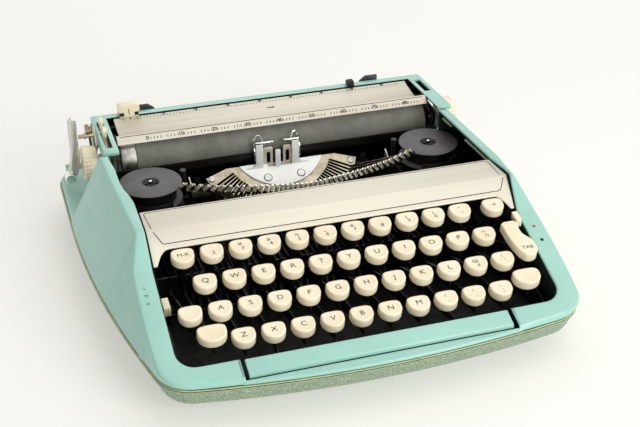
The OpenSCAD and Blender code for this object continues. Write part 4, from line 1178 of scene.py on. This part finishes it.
table += scale_marks(-105.2, 86, (0, 134.0, 74.96), TABLE_UP, False, 2.0, 1.1, 2.4)
finish(together(*table), "paper_table_scale", "carriage", "paper_table", slot="silver")

# Platen: worn rubber on a core, bright band at the left, steel ends and shaft
band = on_axle([(0.5, -119.9), (14.2, -119.9), (15.2, -119.6), (15.4, -119.2), (15.4, -108.9), (15.2, -108.6),
                (0.5, -108.6)], 96)
roll = paint(on_axle([(0.5, -108.4), (15.2, -108.4), (PLATEN_R, -108.0), (PLATEN_R, 118.6), (15.1, 119.3),
                      (13.8, 119.4), (13.6, 119.9), (0.5, 119.9)], 96), PLATEN_RUBBER)
tint(roll, BAND, lambda c, n: abs(n.x) > 0.7 and from_axle(c) < 13.7)
shaft = on_axle([(0.5, -147.4), (2.6, -147.4), (2.95, -147.0), (2.95, 147.0), (2.6, 147.4), (0.5, 147.4)], 32)
collar = on_axle([(3.0, 120.2), (7.5, 120.2), (8.0, 120.6), (8.0, 122.4), (7.6, 122.8), (3.0, 122.8)], 40)
finish(together(paint(band, BAND), roll, paint(shaft, NICKEL), paint(collar, OIL_STAIN_AND_SHADE)), "platen_roll_rubber",
       "platen_roll", "platen", slot="rubber", smooth=30)

# Knobs: ivory, tapered towards the housing, with broad flats between fine grooves
FLUTES, FLUTE_POINTS = 26, 6
# Distance from the housing's side, radius and groove depth
KNOB = ((0.0, 10.8, 0), (0.35, 11.7, 0), (1.2, 12.4, 0.35), (9.4, 13.35, 0.55), (10.4, 13.2, 0.3),
        (11.1, 12.5, 0), (11.5, 11.2, 0), (11.45, 8.8, 0), (10.7, 8.2, 0), (10.6, 3.2, 0))


def knob(side):
    rings = []
    for h, r, deep in KNOB:
        ring = []
        for k in range(FLUTES * FLUTE_POINTS):
            a = 2 * math.pi * k / (FLUTES * FLUTE_POINTS)
            wide = r - deep * (1.0, 0.25, 0, 0, 0, 0.25)[k % FLUTE_POINTS]
            ring.append((side * (136 + h), PLATEN_Y + wide * math.cos(a), PLATEN_Z + wide * math.sin(a)))
        rings.append(ring)
    return paint(skin(rings), IVORY)


knobs = [knob(side) for side in (-1, 1)]
tint(knobs[0], OIL_STAIN_AND_SHADE, lambda c, n: from_axle(c) < 12.2 and abs(n.x) > 0.8 and c.x > -138)
finish(together(*knobs), "platen_knobs_ivory", "platen_roll", "platen_knobs", slot="ivory", smooth=25)

# Return lever: chrome paddle that widens towards its rounded top, with a long hub at its root
paddle = rounded_flat([(-159, 43.2), (-154.3, 43.2), (-150.8, 50), (-148.9, 55), (-148.2, 67), (-149.0, 80),
                       (-148.4, 88.5), (-149.0, 93), (-150.9, 94.9), (-153, 94.6), (-154.8, 91.5),
                       (-155.2, 80), (-154.9, 68), (-156.7, 56), (-158.6, 47)],
                      [1.5, 1.5, 6, 8, 20, 20, 6, 2, 2, 2, 3, 20, 12, 12, 4], 5)
lever_piece = paint(soften(along_y(107.6, 111.9, paddle), 1.3, 4, 50), WORN_CHROME)
profile = [(1.6, 104.6), (3.4, 104.6), (3.9, 105.0), (3.9, 111.4), (3.4, 111.9), (1.6, 111.9)]
boss = turned(profile, (0, 0, 0), sides=32)
boss.data.transform(placed((-157, 0, 47), math.radians(-90)))
finish(together(lever_piece, paint(boss, CHROME)), "return_lever_chrome", "return_lever", "return_lever",
       slot="chrome")

# Ivory levers in the left arm's slots
for y, name in ((127, "line_space_lever"), (110, "paper_release_lever")):
    shape = rounded_flat([(y - 2.5, 61.3), (y + 2.5, 61.3), (y + 2.1, 74), (y + 3.3, 81), (y + 2.3, 83.3),
                          (y - 2.3, 83.3), (y - 3.3, 81), (y - 2.1, 74)], [1, 1, 4, 1.6, 1.2, 1.2, 1.6, 4])
    tab_lever = soften(across_x(-130.6, -127.4, shape), 0.7, 3, 50)
    finish(paint(tab_lever, IVORY), name + "_tab", name, name, slot="ivory")

# Margin stops: ivory with a domed head and an index line on the left, plain dark on the right
shape = rounded_flat([(-98.4, 72.2), (-98.4, 79.2), (-97.2, 80.2), (-97.4, 84.4), (-101, 85.9), (-110, 85.9),
                      (-113.8, 84.4), (-114.0, 80.2), (-112.8, 79.2), (-112.8, 72.2)],
                     [0.3, 0.6, 0.6, 2, 5, 5, 2, 0.6, 0.6, 0.3])
hook = across_x(-113.4, -97.8, [(141.6, 75.9), (147, 75.9), (147, 83.4), (145.4, 85.2), (141.6, 85.8)])
stop = [paint(soften(along_y(138.7, 141.6, shape), 0.7, 3, 50), IVORY),
        paint(soften(hook, 0.8, 3, 50), IVORY)]
for x0, x1, z0, z1 in ((-105.85, -105.35, 77.2, 82.2), (-112.8, -109.4, 76.2, 79.0),
                       (-101.4, -98.4, 76.2, 79.0)):
    stop.append(paint(box(x0, x1, 138.62, 138.75, z0, z1), INK))
finish(together(*stop), "margin_stop_ivory", "margin_stop_left", "margin_stop_left", slot="ivory")
shape = [(138.7, 72.1), (141.6, 72.1), (141.6, 75.8), (147, 75.8), (147, 78.3), (145, 80.1), (140.5, 80.1),
         (138.7, 78.7)]
stop = paint(soften(across_x(70.7, 75.7, shape), 0.4, 2), BLACK_AND_SHADE)
finish(stop, "margin_stop_dark", "margin_stop_right", "margin_stop_right", slot="black_steel")

# Paper bail: a strip that leans back with a scale on its face, arms at its ends
BAIL_UP = Vector((0, 5.7, 5.0)).normalized()
shape = rounded_flat([(97.0, 73.2), (98.0, 72.5), (103.7, 77.6), (102.7, 78.2)], [0.3, 0.4, 0.4, 0.5])
bail = [paint(soften(across_x(-121.3, 121.9, shape), 0.15, 1, 60), SCALE_METAL)]
for x0, x1 in ((-121.4, -120.2), (120.8, 122.0)):
    arm = rounded_flat([(98.1, 72.6), (103.6, 77.5), (130, 67.3), (131, 62.1), (126.1, 61.1)],
                       [0.3, 2.5, 2.5, 2, 1.5])
    arm = cut(across_x(x0, x1, arm), bar(x0 - 1, x1 + 1, 128, 64, 1.56, 20))
    bail.append(paint(arm, LEVER_STEEL))
face = Vector((0, 97.0, 73.2))
bail += scale_marks(-99.0, 86, face + BAIL_UP * 1.9, BAIL_UP, True, 2.8, 1.7, 1.2)
# A dark strip along the bail's top edge is a painted shadow of the gap between the table and the bail
line = [face + BAIL_UP * 6.3 + Vector((x, 0, 0)) for x in (-119, 119.5)]
bail.append(paint(strip(line, Vector((1, 0, 0)).cross(BAIL_UP), 0.5, 0.03), OIL_STAIN_AND_SHADE))
finish(together(*bail), "paper_bail_scale", "paper_bail", "paper_bail", slot="silver")

# Paper supports: two tabs with a slanted shoulder on a strip, which hangs on the hinge rod
SUPPORT_Y = (150.65, 151.75)
tabs = []
for side in (-1, 1):
    outline = ((83.8, 54.1), (99.2, 54.1), (99.2, 77.7), (98.4, 78.4), (89.0, 78.4), (83.8, 74.4))
    outline = [(side * x, z) for x, z in outline]
    tabs.append(paint(soften(along_y(*SUPPORT_Y, outline), 0.3, 2, 50), LEVER_STEEL))
tabs.append(paint(soften(box(-91.4, 91.4, *SUPPORT_Y, 54.1, 58.9), 0.25, 1), LEVER_STEEL))
rod = turned([(0.2, -108.9), (0.8, -108.9), (1.0, -108.6), (1.0, 108.6), (0.8, 108.9), (0.2, 108.9)],
             (0, *SUPPORT_HINGE), "X", 20)
tabs.append(paint(rod, LEVER_STEEL))
finish(together(*tabs), "paper_support_tabs", "paper_supports", "paper_supports", slot="grey_metal")

# Chassis and key lever comb, as the CAD has them
for node in ("key_comb", "chassis"):
    finish(paint(from_node(node), BLACK_AND_SHADE), node + "_black", "root", node, slot="black_steel")

# Floor, light and camera


def seamless_paper():
    """Backlit paper: it glows a little, so that the machine's shadow stays light"""
    return new_material("seamless_white_paper", Base_Color=hue("CCCBC8"), Roughness=0.75,
                        Specular_IOR_Level=0.2, Emission_Color=hue("F7F6F2"), Emission_Strength=0.42)[0]


def studio_world():
    """White room in the camera's and the mirrors' sight, whose light on the machine fades towards the left"""
    world = bpy.data.worlds.new("studio")
    world.use_nodes = True
    tree = world.node_tree
    tree.nodes.clear()
    path = add(tree, "LightPath").outputs
    way = add(tree, "TexCoord").outputs["Generated"]
    from_left = add(tree, "SeparateXYZ", links={"Vector": way}).outputs["X"]
    level = add(tree, "MapRange", {"From Min": -0.9, "From Max": 0.1, "To Min": 0.34, "To Max": 0.8},
                {"Value": from_left})
    seen = add(tree, "Background", {"Color": hue("F1F1EF"), "Strength": 1.0})
    fill = add(tree, "Background", {"Color": hue("F4F3EF")}, {"Strength": level.outputs["Result"]})
    sharp = path["Is Camera Ray"]
    for kind in ("Is Glossy Ray", "Is Transmission Ray"):
        sharp = add(tree, "Math", {"operation": "MAXIMUM"}, {0: sharp, 1: path[kind]}).outputs[0]
    mix = add(tree, "MixShader", links={0: sharp, 1: fill.outputs[0], 2: seen.outputs[0]})
    add(tree, "OutputWorld", links={"Surface": mix.outputs[0]})
    return world


def lamp(name, spot, size, power):
    """Square soft box at spot metres, facing the machine"""
    bpy.ops.object.light_add(type="AREA", location=spot)
    light = bpy.context.object
    light.name = name
    light.rotation_euler = (Vector((0, 0, 0.05)) - Vector(spot)).to_track_quat("-Z", "Y").to_euler()
    light.data.size, light.data.energy = size, power


bpy.ops.mesh.primitive_plane_add(size=12)
floor = bpy.context.object
floor.name = "studio_floor"
paint(floor, seamless_paper())
bpy.context.scene.world = studio_world()
lamp("overhead_box", (0.45, 0.0, 1.5), 1.3, 4.2)
lamp("front_box", (0.7, -1.5, 0.8), 0.9, 15.0)
lamp("rear_box", (0.3, 1.4, 0.9), 0.8, 1.5)

view_camera = bpy.data.cameras.new("photo_camera")
camera = bpy.data.objects.new("photo_camera", view_camera)
bpy.context.scene.collection.objects.link(camera)
camera.location = (-0.21785, -0.70437, 0.48231)
camera.rotation_euler = (math.radians(59.551), 0, math.radians(-17.432))
view_camera.lens, view_camera.sensor_width = 68.45, 36
bpy.context.scene.camera = camera
bpy.context.scene.view_settings.view_transform = "Standard"
